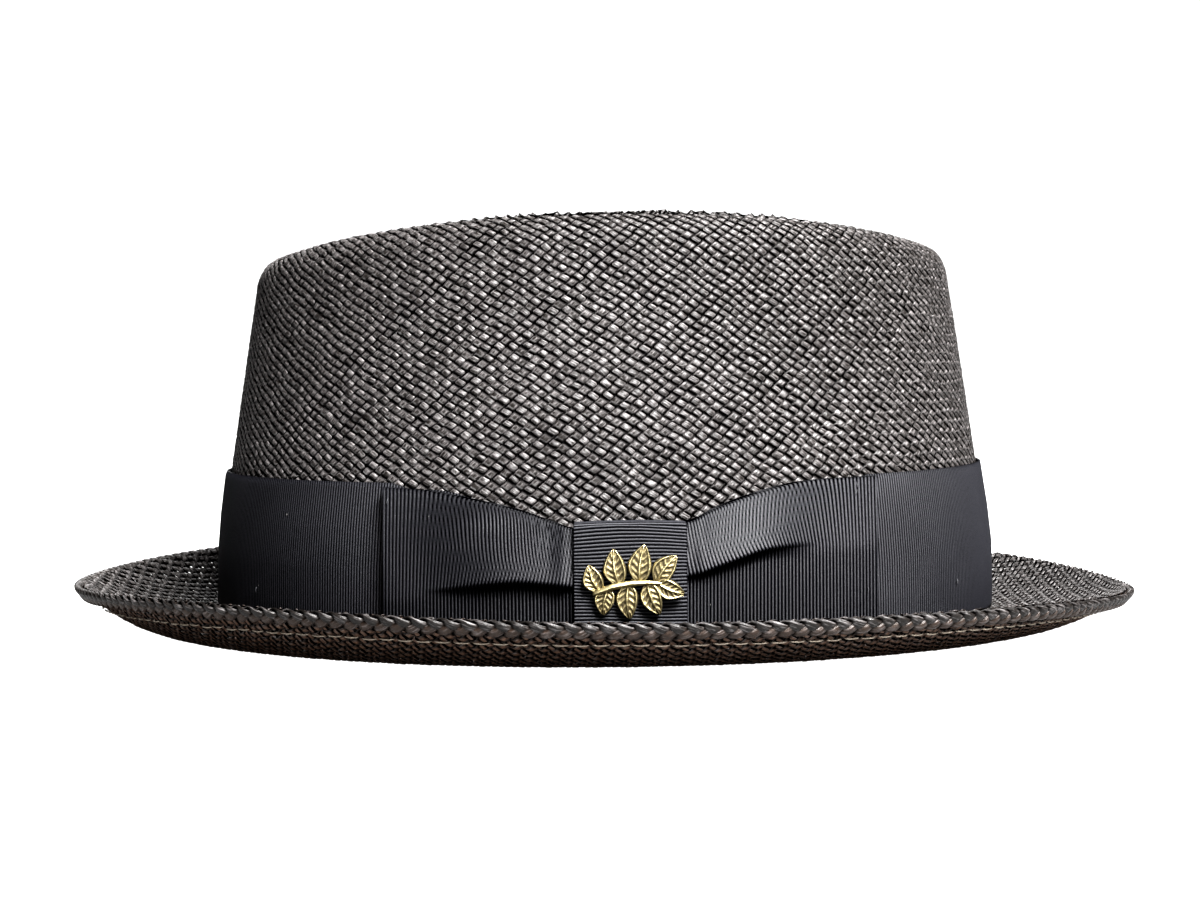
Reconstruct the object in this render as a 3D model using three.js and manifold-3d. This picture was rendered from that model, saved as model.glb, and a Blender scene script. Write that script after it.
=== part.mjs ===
// Porkpie hat: dyed plain-woven straw body with a plaited edge, a ribbed ribbon band,
// a flat side bow with a centre wrap, and a small cast brass pin of a leafy sprig.
// Millimetres, +Z up. The front is towards -X and the bow is on the wearer's left, towards -Y.
import * as THREE from "three";
import Module from "manifold-3d";

const wasm = await Module();
wasm.setup();
const { Manifold, Mesh: SolidMesh } = wasm;

// Driving sizes of the straw body
const STRAW = 1.6; // thickness of the woven wall
const CROWN_HALF_LENGTH = 102.7; // outer half-length where the crown meets the brim
const CROWN_RATIO = 0.84; // half-width over half-length of the head oval
const WALL_LEAN = 0.155; // inward run of the upper wall for each mm of height
const LEAN_START = 24; // height where the wall turns from upright to leaning
const LEAN_SOFTNESS = 6; // how gently it turns there
const RIM_HEIGHT = 99; // mean height of the crown's rim at the front and back
const RIM_REAR_LIFT = 1.05; // the rim stands this much higher at the back than the mean
const RIM_SIDE_LIFT = 8.9; // the rim arches up by this much over the sides
const RIM_FOURFOLD = -0.39; // small wave of the rim, four to the round
const SHOULDER_DROP = 7; // height over which the wall rounds into the rim
const SHOULDER_INSET = 4.2; // inset of the rim's crest from the wall
const GROOVE_INSET = 16; // inset of the groove's floor from the wall
const GROOVE_HEIGHT = 84; // height of the groove's floor
const PLATEAU_INSET = 31; // inset where the plateau's flat begins
const PLATEAU_HEIGHT = 94.5; // height of the plateau at its edge
const PLATEAU_DOME = 1.6; // rise of the plateau's middle over its edge

// Driving sizes of the brim and its plaited edge
const BRIM_HALF_LENGTH = 140.2; // over the plait
const BRIM_HALF_WIDTH = 120.9; // over the plait
const EDGE_HEIGHT = 11.85; // mean height of the brim's edge
const EDGE_FRONT_LIFT = 1.91; // the edge stands this much higher at the front than the mean
const EDGE_SIDE_LIFT = 1.29; // and this much higher at the sides
const EDGE_FOURFOLD = -0.75; // small wave of the edge, four to the round
const FLAT_SHARE = 0.25; // share of the brim's width that lies flat on the table
const CURL_POWER = 2.3; // how late the brim curls up
const BREAK_RADIUS = 3; // outer fillet between crown and brim
const PLAIT_WIDTH = 2.6; // thickness of the plaited edge
const PLAIT_TOP_LIFT = 1.5; // the plait's top stands this much over the edge height
const PLAIT_GAP = 0.3;

// Driving sizes of the ribbon work
const RIBBON = 0.8; // thickness of one layer of ribbon
const LAYER_GAP = 0.35; // clearance between two separate pieces of ribbon work
const BAND_BOTTOM = 5;
const BAND_TOP = 42.8;
const BAND_TOP_REAR_LIFT = 0.6;
const BAND_TUCK = 1.6; // the band's top hides this far below the loops' top edges
const BAND_TUCK_RUN = 7; // and rises to its free height over this length at their folds
const BOW_X = 6.3; // the bow's centre along the hat
const LOOP_REACH = 58.6; // from the bow's centre to each loop's outer fold
const LOOP_HOLLOW = 0.7; // space between a loop's two layers in its middle
const PINCH_HOLLOW = 0.3; // the same where the wrap pinches them
const LOOP_INNER = 7.4; // the loops' inner ends stop this far from the bow's centre
const LOOP_BOTTOM = 5.6;
const LOOP_TOP = 42.4;
const PINCH_BOTTOM = 8;
const PINCH_TOP = 31.8;
const PINCH_RUN = 0.75; // share of a loop over which the pinch fades out
const STEP_RUN = 6; // the loops settle onto the band over this length beside the wrap
const PLEAT_HEIGHT = 1.5; // how far the pleat's ridge stands out beside the wrap
const PLEAT_HELD = 0.55; // share of the pleat's height left under the wrap
const PLEAT_RELEASE = 3; // the pleat reaches its full height this far from the wrap
const CREASE_DEPTH = 0.2; // how far the crease under the pleat sinks in
const WRAP_HALF_WIDTH = 13.4;
const WRAP_TOP = 33.6;
const WRAP_BOTTOM = 6.4;
const WRAP_CORNER = 1.5; // corner radius of the wrap seen from its end

// Driving sizes of the pin
const PIN_X = 6.8;
const PIN_Z = 19.8;
const PIN_HALF_HEIGHT = 9.5;
const PIN_PLATE = 1.1; // thickness of the casting before its bevel
const PIN_BEVEL = 0.45;
const PIN_STAND_OFF = 0.45;
const POST_RADIUS = 1;
const POST_LENGTH = 3.4;
const POST_CLEARANCE = 0.45;

const AROUND = 72; // facets round every ring
const TURN = 2 * Math.PI;

const GAP_TO_STRAW = 0.35;
const BAND_OUT = GAP_TO_STRAW + RIBBON; // outer face of the band over the straw
const WRAP_BACK = BAND_OUT + LAYER_GAP; // back face of the wrap over the straw
const LOOP_BACK = WRAP_BACK + RIBBON + LAYER_GAP; // back face of the pinched loops
const LOOP_BACK_FREE = BAND_OUT + LAYER_GAP; // back face of the loops away from the wrap
const PINCH_FRONT = LOOP_BACK + 2 * RIBBON + PINCH_HOLLOW;
const WRAP_FRONT = PINCH_FRONT + PLEAT_HEIGHT * PLEAT_HELD + LAYER_GAP + RIBBON;

// Outer half-length of the straw wall at a height: upright low down, then leaning in.
function wallHalfLength(z) {
  const run = LEAN_SOFTNESS * Math.log(1 + Math.exp((z - LEAN_START) / LEAN_SOFTNESS));
  return CROWN_HALF_LENGTH - WALL_LEAN * run;
}

function rimHeight(turn) {
  const side = Math.sin(turn) ** 2;
  const wave = RIM_FOURFOLD * Math.cos(4 * turn);
  return RIM_HEIGHT + RIM_REAR_LIFT * Math.cos(turn) + RIM_SIDE_LIFT * side + wave;
}

function edgeHeight(turn) {
  const lift = -EDGE_FRONT_LIFT * Math.cos(turn) - EDGE_SIDE_LIFT * Math.cos(2 * turn);
  return EDGE_HEIGHT + lift + EDGE_FOURFOLD * Math.cos(4 * turn);
}

// A point of the crown at a turn angle, a height and an inset from the wall.
function crownPoint(turn, z, inset) {
  const length = wallHalfLength(z) - inset;
  const width = wallHalfLength(z) * CROWN_RATIO - inset;
  return new THREE.Vector3(length * Math.cos(turn), width * Math.sin(turn), z);
}

// A point on the side wall, moved out along the oval's normal by a distance.
function wallPoint(turn, z, out) {
  const a = wallHalfLength(z);
  const b = a * CROWN_RATIO;
  const normal = new THREE.Vector2(Math.cos(turn) / a, Math.sin(turn) / b).normalize();
  return new THREE.Vector3(
    a * Math.cos(turn) + out * normal.x,
    b * Math.sin(turn) + out * normal.y,
    z,
  );
}

// The same on the bow's side of the hat, for a position along X.
function sidePoint(x, z, out) {
  const turn = -Math.acos(x / wallHalfLength(z));
  return wallPoint(turn, z, out);
}

// One closed mesh from a grid of rows. Each row is a ring of points; the first and last rows may
// be single points, which close the ends; otherwise the last row joins on to the first.
function ringSolid(rows) {
  const points = [];
  const starts = rows.map((row) => {
    const start = points.length;
    points.push(...row);
    return start;
  });
  const index = [];
  const joined = rows[0].length > 1;
  const last = joined ? rows.length : rows.length - 1;
  for (let i = 0; i < last; i++) {
    const next = (i + 1) % rows.length;
    const count = Math.max(rows[i].length, rows[next].length);
    for (let j = 0; j < count; j++) {
      const k = (j + 1) % count;
      const pick = (row, column) => starts[row] + (rows[row].length > 1 ? column : 0);
      const a = pick(i, j);
      const b = pick(i, k);
      const c = pick(next, k);
      const d = pick(next, j);
      if (a !== b) index.push(a, b, c);
      if (c !== d) index.push(a, c, d);
    }
  }
  return meshOf(points, index);
}

// A geometry from points and triangle corners, turned so that its faces point outwards.
function meshOf(points, index) {
  const geometry = new THREE.BufferGeometry().setFromPoints(points).setIndex(index);
  if (signedVolume(points, index) < 0) {
    for (let i = 0; i < index.length; i += 3) {
      [index[i + 1], index[i + 2]] = [index[i + 2], index[i + 1]];
    }
    geometry.setIndex(index);
  }
  geometry.computeVertexNormals();
  return geometry;
}

function signedVolume(points, index) {
  let volume = 0;
  for (let i = 0; i < index.length; i += 3) {
    const [a, b, c] = [0, 1, 2].map((k) => points[index[i + k]]);
    volume += a.dot(b.clone().cross(c)) / 6;
  }
  return volume;
}

const turns = Array.from({ length: AROUND }, (_, j) => (TURN * j) / AROUND);
const ring = (pointAt) => turns.map(pointAt);

// The rings moved along their own surface's normal by a distance, rows running inwards and up.
function offsetRings(rings, distance) {
  return rings.map((row, i) => {
    const before = rings[Math.max(i - 1, 0)];
    const after = rings[Math.min(i + 1, rings.length - 1)];
    return row.map((point, j) => {
      const left = row[(j + AROUND - 1) % AROUND];
      const right = row[(j + 1) % AROUND];
      const around = right.clone().sub(left);
      const along = after[j].clone().sub(before[j]);
      const normal = around.cross(along).normalize();
      return point.clone().addScaledVector(normal, distance);
    });
  });
}

// Straw body

// Shares of the curling part of the brim's width, from the edge in to the flat ring.
const CURL_ROWS = [1, 0.86, 0.69, 0.48, 0.24, 0];
const BODY_EDGE_BACK = 0.5 * PLAIT_WIDTH + (0.5 * PLAIT_WIDTH + PLAIT_GAP) * Math.SQRT1_2;
const BODY_EDGE_DROP = 1.5;

// A point of the brim's underside at a share of its width.
function underPoint(turn, share) {
  const base = CROWN_HALF_LENGTH;
  const length = base + (BRIM_HALF_LENGTH - BODY_EDGE_BACK - base) * share;
  const baseWidth = base * CROWN_RATIO;
  const width = baseWidth + (BRIM_HALF_WIDTH - BODY_EDGE_BACK - baseWidth) * share;
  const curl = Math.max(0, (share - FLAT_SHARE) / (1 - FLAT_SHARE)) ** CURL_POWER;
  return new THREE.Vector3(
    length * Math.cos(turn),
    width * Math.sin(turn),
    (edgeHeight(turn) - BODY_EDGE_DROP) * curl,
  );
}

const curlShares = CURL_ROWS.map((share) => FLAT_SHARE + (1 - FLAT_SHARE) * share);
const underRings = curlShares.map((share) => ring((turn) => underPoint(turn, share)));
const topOfBrim = offsetRings(underRings, STRAW);

// Fillet angles from the brim up to the wall, in degrees.
const FILLET_ANGLES = [0, 45, 90];
function filletPoint(turn, degrees, radius) {
  const angle = (degrees * Math.PI) / 180;
  const out = BREAK_RADIUS - radius * Math.sin(angle);
  const z = STRAW + BREAK_RADIUS - radius * Math.cos(angle);
  return crownPoint(turn, z, -out);
}

// Heights up the wall as shares of the way to the shoulder.
const WALL_ROWS = [0.24, 0.48, 0.74, 1];
// The shoulder's angle up to the rim's crest, in degrees.
const SHOULDER_ANGLES = [25, 50, 72, 90];
// From the crest down to the groove's floor.
const GROOVE_ROWS = [
  { inward: 0.36, height: 0.95 },
  { inward: 0.5, height: 0.78 },
  { inward: 0.64, height: 0.4 },
  { inward: 0.8, height: 0.1 },
  { inward: 1, height: 0 },
];
// From the groove's floor up to the plateau's edge.
const RISE_ROWS = [
  { inward: 0.4, height: 0.45 },
  { inward: 1, height: 1 },
];
// Rings of the plateau, as shares of its half-length.
const PLATEAU_ROWS = [0.5];

const wallStart = STRAW + BREAK_RADIUS;
function shoulderStart(turn) {
  return rimHeight(turn) - SHOULDER_DROP;
}
const wallRings = WALL_ROWS.map((share) =>
  ring((turn) => {
    const z = wallStart + (shoulderStart(turn) - wallStart) * share;
    return crownPoint(turn, z, 0);
  }),
);
const shoulderRings = SHOULDER_ANGLES.map((degrees) => {
  const angle = (degrees * Math.PI) / 180;
  return ring((turn) => {
    const z = shoulderStart(turn) + SHOULDER_DROP * Math.sin(angle);
    return crownPoint(turn, z, SHOULDER_INSET * (1 - Math.cos(angle)));
  });
});

// A point inside the rim, insets measured from the wall at the groove's own height.
function topPoint(turn, z, inset) {
  const length = wallHalfLength(RIM_HEIGHT) - inset;
  const width = wallHalfLength(RIM_HEIGHT) * CROWN_RATIO - inset;
  return new THREE.Vector3(length * Math.cos(turn), width * Math.sin(turn), z);
}
const grooveRings = GROOVE_ROWS.map((row) =>
  ring((turn) => {
    const z = GROOVE_HEIGHT + (rimHeight(turn) - GROOVE_HEIGHT) * row.height;
    return topPoint(turn, z, GROOVE_INSET * row.inward);
  }),
);
const riseRings = RISE_ROWS.map((row) =>
  ring((turn) => {
    const z = GROOVE_HEIGHT + (PLATEAU_HEIGHT - GROOVE_HEIGHT) * row.height;
    return topPoint(turn, z, GROOVE_INSET + (PLATEAU_INSET - GROOVE_INSET) * row.inward);
  }),
);
const plateauRings = PLATEAU_ROWS.map((share) =>
  ring((turn) => {
    const edge = topPoint(turn, PLATEAU_HEIGHT, PLATEAU_INSET);
    const z = PLATEAU_HEIGHT + PLATEAU_DOME * (1 - share ** 2);
    return new THREE.Vector3(edge.x * share, edge.y * share, z);
  }),
);
const upperRings = [...wallRings, ...shoulderRings, ...grooveRings, ...riseRings, ...plateauRings];
const outerFillet = FILLET_ANGLES.map((degrees) =>
  ring((turn) => filletPoint(turn, degrees, BREAK_RADIUS)),
);
const innerFillet = FILLET_ANGLES.map((degrees) =>
  ring((turn) => filletPoint(turn, degrees, BREAK_RADIUS + STRAW)),
);
const innerUpper = offsetRings(upperRings, -STRAW);
const outerPole = [new THREE.Vector3(0, 0, PLATEAU_HEIGHT + PLATEAU_DOME)];
const innerPole = [new THREE.Vector3(0, 0, PLATEAU_HEIGHT + PLATEAU_DOME - STRAW)];

const strawBody = ringSolid([
  outerPole,
  ...[...upperRings].reverse(),
  ...[...outerFillet].reverse(),
  ...[...topOfBrim].reverse(),
  ...underRings,
  ...innerFillet,
  ...innerUpper,
  innerPole,
]);

// Plaited edge
const PLAIT_FACETS = 8;
const plaitRings = Array.from({ length: PLAIT_FACETS }, (_, k) => {
  const angle = (TURN * (k + 0.5)) / PLAIT_FACETS;
  const radius = PLAIT_WIDTH / 2 / Math.cos(Math.PI / PLAIT_FACETS);
  const back = PLAIT_WIDTH / 2 - radius * Math.cos(angle);
  return ring(
    (turn) =>
      new THREE.Vector3(
        (BRIM_HALF_LENGTH - back) * Math.cos(turn),
        (BRIM_HALF_WIDTH - back) * Math.sin(turn),
        edgeHeight(turn) + PLAIT_TOP_LIFT - PLAIT_WIDTH / 2 + radius * Math.sin(angle),
      ),
  );
});
const edgePlait = ringSolid(plaitRings);

// The ribbon is pinched at the bow, so the band behind it dips with the loops' top edges.

function smooth(value) {
  const t = Math.min(1, Math.max(0, value));
  return t * t * (3 - 2 * t);
}
// 1 at the wrap and 0 by the loop's middle, for a distance from the bow's centre.
function pinchAt(reach) {
  return 1 - smooth((reach - WRAP_HALF_WIDTH) / (PINCH_RUN * (LOOP_REACH - WRAP_HALF_WIDTH)));
}
function bandTop(turn) {
  const top = BAND_TOP + BAND_TOP_REAR_LIFT * Math.cos(turn);
  if (Math.sin(turn) >= 0) return top;
  const reach = Math.abs(wallHalfLength(BAND_TOP) * Math.cos(turn) - BOW_X);
  const behind = 1 - smooth((reach - LOOP_REACH + BAND_TUCK_RUN) / BAND_TUCK_RUN);
  return top - (LOOP_TOP - PINCH_TOP) * pinchAt(reach) - BAND_TUCK * behind;
}

// Ribbon band, its rows as shares of its height
const BAND_ROWS = [0, 0.4, 0.7, 1];
function bandRing(share, out) {
  return ring((turn) =>
    wallPoint(turn, BAND_BOTTOM + (bandTop(turn) - BAND_BOTTOM) * share, out),
  );
}
const ribbonBand = ringSolid([
  ...BAND_ROWS.map((share) => bandRing(share, BAND_OUT)),
  ...[...BAND_ROWS].reverse().map((share) => bandRing(share, GAP_TO_STRAW)),
]);

// Bow loops

// The front layer's pleat, across is 0 at the ribbon's bottom edge and 1 at the top.
const PLEAT_RIDGE = 0.62;
const PLEAT_SPREAD = 0.16;
const PLEAT_CREASE = 0.4;
const CREASE_SPREAD = 0.1;
function bell(value, middle, spread) {
  return Math.exp(-(((value - middle) / spread) ** 2));
}
function ridgeLift(reach, across) {
  const held = smooth((WRAP_HALF_WIDTH + PLEAT_RELEASE - reach) / PLEAT_RELEASE);
  const height = PLEAT_HEIGHT * (1 - (1 - PLEAT_HELD) * held);
  return pinchAt(reach) * height * bell(across, PLEAT_RIDGE, PLEAT_SPREAD);
}
function creaseDip(reach, across) {
  return pinchAt(reach) * CREASE_DEPTH * bell(across, PLEAT_CREASE, CREASE_SPREAD);
}

// Stations along one loop's ribbon as seen from above: out along the back layer, round the
// fold and in along the front layer. Reach is a share from the inner end to the fold.
const LOOP_STATIONS = [
  { reach: 0, layer: 0 },
  { reach: 0.14, layer: 0 },
  { reach: 0.4, layer: 0 },
  { reach: 0.7, layer: 0 },
  { reach: 0.975, layer: 0 },
  { reach: 1, layer: 0.5 },
  { reach: 0.975, layer: 1 },
  { reach: 0.82, layer: 1 },
  { reach: 0.62, layer: 1 },
  { reach: 0.44, layer: 1 },
  { reach: 0.28, layer: 1 },
  { reach: 0.14, layer: 1 },
  { reach: 0, layer: 1 },
];
const LOOP_ACROSS = [0, 0.2, 0.32, 0.4, 0.5, 0.62, 0.78, 1];

// A point of a loop: side is -1 towards the front of the hat and 1 towards the back, skin is 0 on
// the loop's inner skin and 1 on its outer one.
function loopPoint(side, station, across, skin) {
  const fold = 1 - Math.abs(2 * station.layer - 1); // 1 at the fold itself
  const tuck = (1 - skin) * fold * RIBBON;
  const reach = LOOP_INNER + (LOOP_REACH - LOOP_INNER) * station.reach - tuck;
  const pinch = pinchAt(reach);
  const held = smooth((WRAP_HALF_WIDTH + STEP_RUN - reach) / STEP_RUN);
  const bottom = LOOP_BOTTOM + (PINCH_BOTTOM - LOOP_BOTTOM) * pinch;
  const top = LOOP_TOP + (PINCH_TOP - LOOP_TOP) * pinch;
  const back = LOOP_BACK_FREE + (LOOP_BACK - LOOP_BACK_FREE) * held;
  const hollow = LOOP_HOLLOW + (PINCH_HOLLOW - LOOP_HOLLOW) * pinch;
  const front = station.layer === 1;
  const lift = front ? ridgeLift(reach, across) : 0;
  const dip = front && skin ? creaseDip(reach, across) : 0;
  const innerSkin = [RIBBON, RIBBON + hollow / 2, RIBBON + hollow][2 * station.layer];
  const outerSkin = [0, RIBBON + hollow / 2, 2 * RIBBON + hollow][2 * station.layer];
  const out = back + (skin ? outerSkin : innerSkin) + lift - dip;
  return sidePoint(BOW_X + side * reach, bottom + (top - bottom) * across, out);
}

// A ribbon strip as one closed body from its outer and inner skins.
function stripSolid(outer, inner) {
  const rows = outer.length;
  const columns = outer[0].length;
  const points = [...outer.flat(), ...inner.flat()];
  const at = (skin, i, j) => skin * rows * columns + i * columns + j;
  const index = [];
  const quad = (a, b, c, d) => index.push(a, b, c, a, c, d);
  for (let i = 0; i < rows - 1; i++) {
    for (let j = 0; j < columns - 1; j++) {
      quad(at(0, i, j), at(0, i + 1, j), at(0, i + 1, j + 1), at(0, i, j + 1));
      quad(at(1, i, j), at(1, i, j + 1), at(1, i + 1, j + 1), at(1, i + 1, j));
    }
  }
  for (let i = 0; i < rows - 1; i++) {
    const end = columns - 1;
    quad(at(0, i, 0), at(1, i, 0), at(1, i + 1, 0), at(0, i + 1, 0));
    quad(at(0, i, end), at(0, i + 1, end), at(1, i + 1, end), at(1, i, end));
  }
  for (let j = 0; j < columns - 1; j++) {
    const end = rows - 1;
    quad(at(0, 0, j), at(0, 0, j + 1), at(1, 0, j + 1), at(1, 0, j));
    quad(at(0, end, j), at(1, end, j), at(1, end, j + 1), at(0, end, j + 1));
  }
  return meshOf(points, index);
}

function bowLoop(side) {
  const skinOf = (skin) =>
    LOOP_STATIONS.map((station) =>
      LOOP_ACROSS.map((across) => loopPoint(side, station, across, skin)),
    );
  return stripSolid(skinOf(1), skinOf(0));
}

// Centre wrap: a rounded tube of ribbon round the pinched loops, open towards both loops

// Corners of the wrap's end view as positions from the straw out and up.
function wrapOutline(shrink) {
  const back = WRAP_BACK + shrink;
  const front = WRAP_FRONT - shrink;
  const bottom = WRAP_BOTTOM + shrink;
  const top = WRAP_TOP - shrink;
  const round = WRAP_CORNER - shrink;
  const corners = [
    { out: back + round, z: bottom + round, from: 180 },
    { out: front - round, z: bottom + round, from: 270 },
    { out: front - round, z: top - round, from: 0 },
    { out: back + round, z: top - round, from: 90 },
  ];
  return corners.flatMap((corner) =>
    [0, 45, 90].map((step) => {
      const angle = ((corner.from + step) * Math.PI) / 180;
      return { out: corner.out + round * Math.cos(angle), z: corner.z + round * Math.sin(angle) };
    }),
  );
}
const WRAP_STATIONS = [-1, -0.5, 0, 0.5, 1];
function wrapRings(shrink) {
  return WRAP_STATIONS.map((share) =>
    wrapOutline(shrink).map((p) => sidePoint(BOW_X + WRAP_HALF_WIDTH * share, p.z, p.out)),
  );
}
const wrapTube = ringSolid([...wrapRings(0), ...wrapRings(RIBBON).reverse()]);

// A geometry as a solid for joining and cutting, and back again.
function solidOf(geometry) {
  const plain = geometry.index ? geometry : geometry.clone();
  const position = plain.getAttribute("position");
  const mesh = new SolidMesh({
    numProp: 3,
    vertProperties: new Float32Array(position.array),
    triVerts: plain.index
      ? new Uint32Array(plain.index.array)
      : Uint32Array.from({ length: position.count }, (_, i) => i),
  });
  mesh.merge();
  return new Manifold(mesh);
}
function geometryOf(solid) {
  const mesh = solid.getMesh();
  const geometry = new THREE.BufferGeometry();
  const position = new THREE.BufferAttribute(new Float32Array(mesh.vertProperties), mesh.numProp);
  geometry.setAttribute("position", position);
  geometry.setIndex(new THREE.BufferAttribute(new Uint32Array(mesh.triVerts), 1));
  geometry.computeVertexNormals();
  return geometry;
}

// The pin's flat back stands clear of the proudest point of the wrap behind it.
const behindPin = [-1, 0, 1].map((share) => PIN_Z + PIN_HALF_HEIGHT * share);
const wrapFace = Math.min(...behindPin.map((z) => sidePoint(BOW_X, z, WRAP_FRONT).y));
const pinBackY = wrapFace - PIN_STAND_OFF;
const POST_FACETS = 16;
function postSolid(radius, length) {
  const cylinder = new THREE.CylinderGeometry(radius, radius, length, POST_FACETS);
  cylinder.translate(PIN_X, pinBackY + length / 2 - PIN_PLATE / 2, PIN_Z);
  return solidOf(cylinder);
}
const centreWrap = geometryOf(
  solidOf(wrapTube).subtract(postSolid(POST_RADIUS + POST_CLEARANCE, POST_LENGTH + 1)),
);

// Pin: a bent stem with leaves, each leaf a bevelled almond that grows from the stem
const LEAF_POINTS = 6;
const LEAF_FULLNESS = 0.8; // lower is broader near the stem and blunter
const STEM = [
  { x: -9.8, z: -2.6 },
  { x: -5.4, z: -1 },
  { x: -1, z: -0.2 },
  { x: 3.4, z: 0 },
  { x: 6.6, z: -0.2 },
];
const STEM_HALF_WIDTH = 0.85;
// Where each leaf leaves the stem, its direction in degrees, and its size.
const LEAVES = [
  { x: -8.2, turn: 112, length: 6.8, width: 5 },
  { x: -6, turn: 258, length: 6.6, width: 5 },
  { x: -3.6, turn: 98, length: 8.8, width: 5.6 },
  { x: -1.4, turn: 272, length: 8.4, width: 5.4 },
  { x: 1.2, turn: 82, length: 9.2, width: 5.8 },
  { x: 3, turn: 292, length: 8.2, width: 5.2 },
  { x: 5, turn: 52, length: 8.2, width: 5.4 },
  { x: 5.4, turn: 338, length: 7, width: 4.8 },
];
function stemHeight(x) {
  const after = STEM.findIndex((p) => p.x >= x);
  const [left, right] = [STEM[after - 1], STEM[after]];
  return left.z + ((right.z - left.z) * (x - left.x)) / (right.x - left.x);
}

function plateOf(shape) {
  const plate = new THREE.ExtrudeGeometry(shape, {
    depth: PIN_PLATE,
    bevelEnabled: true,
    bevelThickness: PIN_BEVEL,
    bevelSize: PIN_BEVEL,
    bevelOffset: -PIN_BEVEL,
    bevelSegments: 1,
    curveSegments: 1,
  });
  // The plate is drawn in X and Y and stands with its drawing towards -Y.
  plate.rotateX(Math.PI / 2);
  plate.translate(PIN_X, pinBackY - PIN_BEVEL, PIN_Z);
  return solidOf(plate);
}
function leafShape(leaf) {
  const angle = (leaf.turn * Math.PI) / 180;
  const outline = [];
  for (let i = 0; i < 2 * LEAF_POINTS; i++) {
    const side = i < LEAF_POINTS ? 1 : -1;
    const share = i < LEAF_POINTS ? i / LEAF_POINTS : 2 - i / LEAF_POINTS;
    const half = (leaf.width / 2) * Math.sin(Math.PI * share ** LEAF_FULLNESS) ** LEAF_FULLNESS;
    const along = leaf.length * share;
    const across = side * half;
    outline.push(
      new THREE.Vector2(
        leaf.x + along * Math.cos(angle) - across * Math.sin(angle),
        stemHeight(leaf.x) + along * Math.sin(angle) + across * Math.cos(angle),
      ),
    );
  }
  return new THREE.Shape(outline);
}
function stemShape() {
  const upper = STEM.map((p) => new THREE.Vector2(p.x, p.z + STEM_HALF_WIDTH));
  const lower = [...STEM].reverse().map((p) => new THREE.Vector2(p.x, p.z - STEM_HALF_WIDTH));
  return new THREE.Shape([...lower, ...upper]);
}
const pinBody = Manifold.union([
  plateOf(stemShape()),
  ...LEAVES.map((leaf) => plateOf(leafShape(leaf))),
  postSolid(POST_RADIUS, POST_LENGTH),
]);

// Materials and the group
const STRAW_LOOK = { color: 0x4a4644, roughness: 0.62, metalness: 0 };
const PLAIT_LOOK = { color: 0x433c36, roughness: 0.6, metalness: 0 };
const RIBBON_LOOK = { color: 0x202127, roughness: 0.78, metalness: 0 };
const BRASS_LOOK = { color: 0x9a8a5c, roughness: 0.38, metalness: 1 };

const part = new THREE.Group();
part.name = "porkpie_hat";
function add(name, geometry, look) {
  const mesh = new THREE.Mesh(geometry, new THREE.MeshStandardMaterial(look));
  mesh.name = name;
  part.add(mesh);
}
add("straw_body", strawBody, STRAW_LOOK);
add("edge_plait", edgePlait, PLAIT_LOOK);
add("ribbon_band", ribbonBand, RIBBON_LOOK);
add("bow_loop_front", bowLoop(-1), RIBBON_LOOK);
add("bow_loop_back", bowLoop(1), RIBBON_LOOK);
add("bow_wrap", centreWrap, RIBBON_LOOK);
add("sprig_pin", geometryOf(pinBody), BRASS_LOOK);

export default part;
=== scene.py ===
import math

import bpy
import numpy as np
from mathutils import Matrix, Vector


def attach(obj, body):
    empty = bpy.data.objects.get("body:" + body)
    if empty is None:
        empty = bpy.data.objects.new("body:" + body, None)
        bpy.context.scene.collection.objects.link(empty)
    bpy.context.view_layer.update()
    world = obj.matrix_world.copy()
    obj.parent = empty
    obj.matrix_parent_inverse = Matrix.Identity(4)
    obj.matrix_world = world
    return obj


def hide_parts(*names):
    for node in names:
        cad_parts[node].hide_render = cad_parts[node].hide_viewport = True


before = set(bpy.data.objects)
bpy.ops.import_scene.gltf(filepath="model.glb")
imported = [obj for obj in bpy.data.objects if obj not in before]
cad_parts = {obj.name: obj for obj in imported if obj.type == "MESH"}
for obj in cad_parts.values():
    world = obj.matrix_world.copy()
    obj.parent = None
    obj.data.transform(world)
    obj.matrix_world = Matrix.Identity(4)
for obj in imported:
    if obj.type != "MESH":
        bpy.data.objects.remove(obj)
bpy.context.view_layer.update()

bl_info = {
    "name": "Porkpie Straw Hat",
    "version": (1, 0, 0),
    "blender": (4, 5, 0),
    "location": "3D View > Sidebar > Hat",
    "description": "Woven straw porkpie hat with ribbon band, flat bow and cast pin",
    "category": "Add Mesh",
}

TURN = 2 * math.pi

# The hat's own sizes in metres, the same as in the solids
STRAW = 0.0016
CROWN_HALF_LENGTH = 0.1027
CROWN_RATIO = 0.84
WALL_LEAN = 0.155
LEAN_START = 0.024
LEAN_SOFTNESS = 0.006
RIM_HEIGHT = 0.099
RIM_REAR_LIFT = 0.00105
RIM_SIDE_LIFT = 0.0089
RIM_FOURFOLD = -0.00039
SHOULDER_DROP = 0.007
SHOULDER_INSET = 0.0042
GROOVE_INSET = 0.016
GROOVE_HEIGHT = 0.084
PLATEAU_INSET = 0.031
PLATEAU_HEIGHT = 0.0945
PLATEAU_DOME = 0.0016
BRIM_HALF_LENGTH = 0.1402
BRIM_HALF_WIDTH = 0.1209
EDGE_HEIGHT = 0.01185
EDGE_FRONT_LIFT = 0.00191
EDGE_SIDE_LIFT = 0.00129
EDGE_FOURFOLD = -0.00075
EDGE_REAR_RISE = 0.0013
FLAT_SHARE = 0.25
CURL_POWER = 2.3
BREAK_RADIUS = 0.003
RIBBON = 0.0008
BAND_IN = 0.00035
BAND_OUT = 0.00115
BAND_BOTTOM = 0.005
BAND_TOP = 0.0428
BAND_TOP_REAR_LIFT = 0.0006
BAND_TUCK = 0.0016
BAND_TUCK_RUN = 0.007
LOOP_TOP = 0.0424
PINCH_TOP = 0.0318
PINCH_RUN = 0.75
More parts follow.
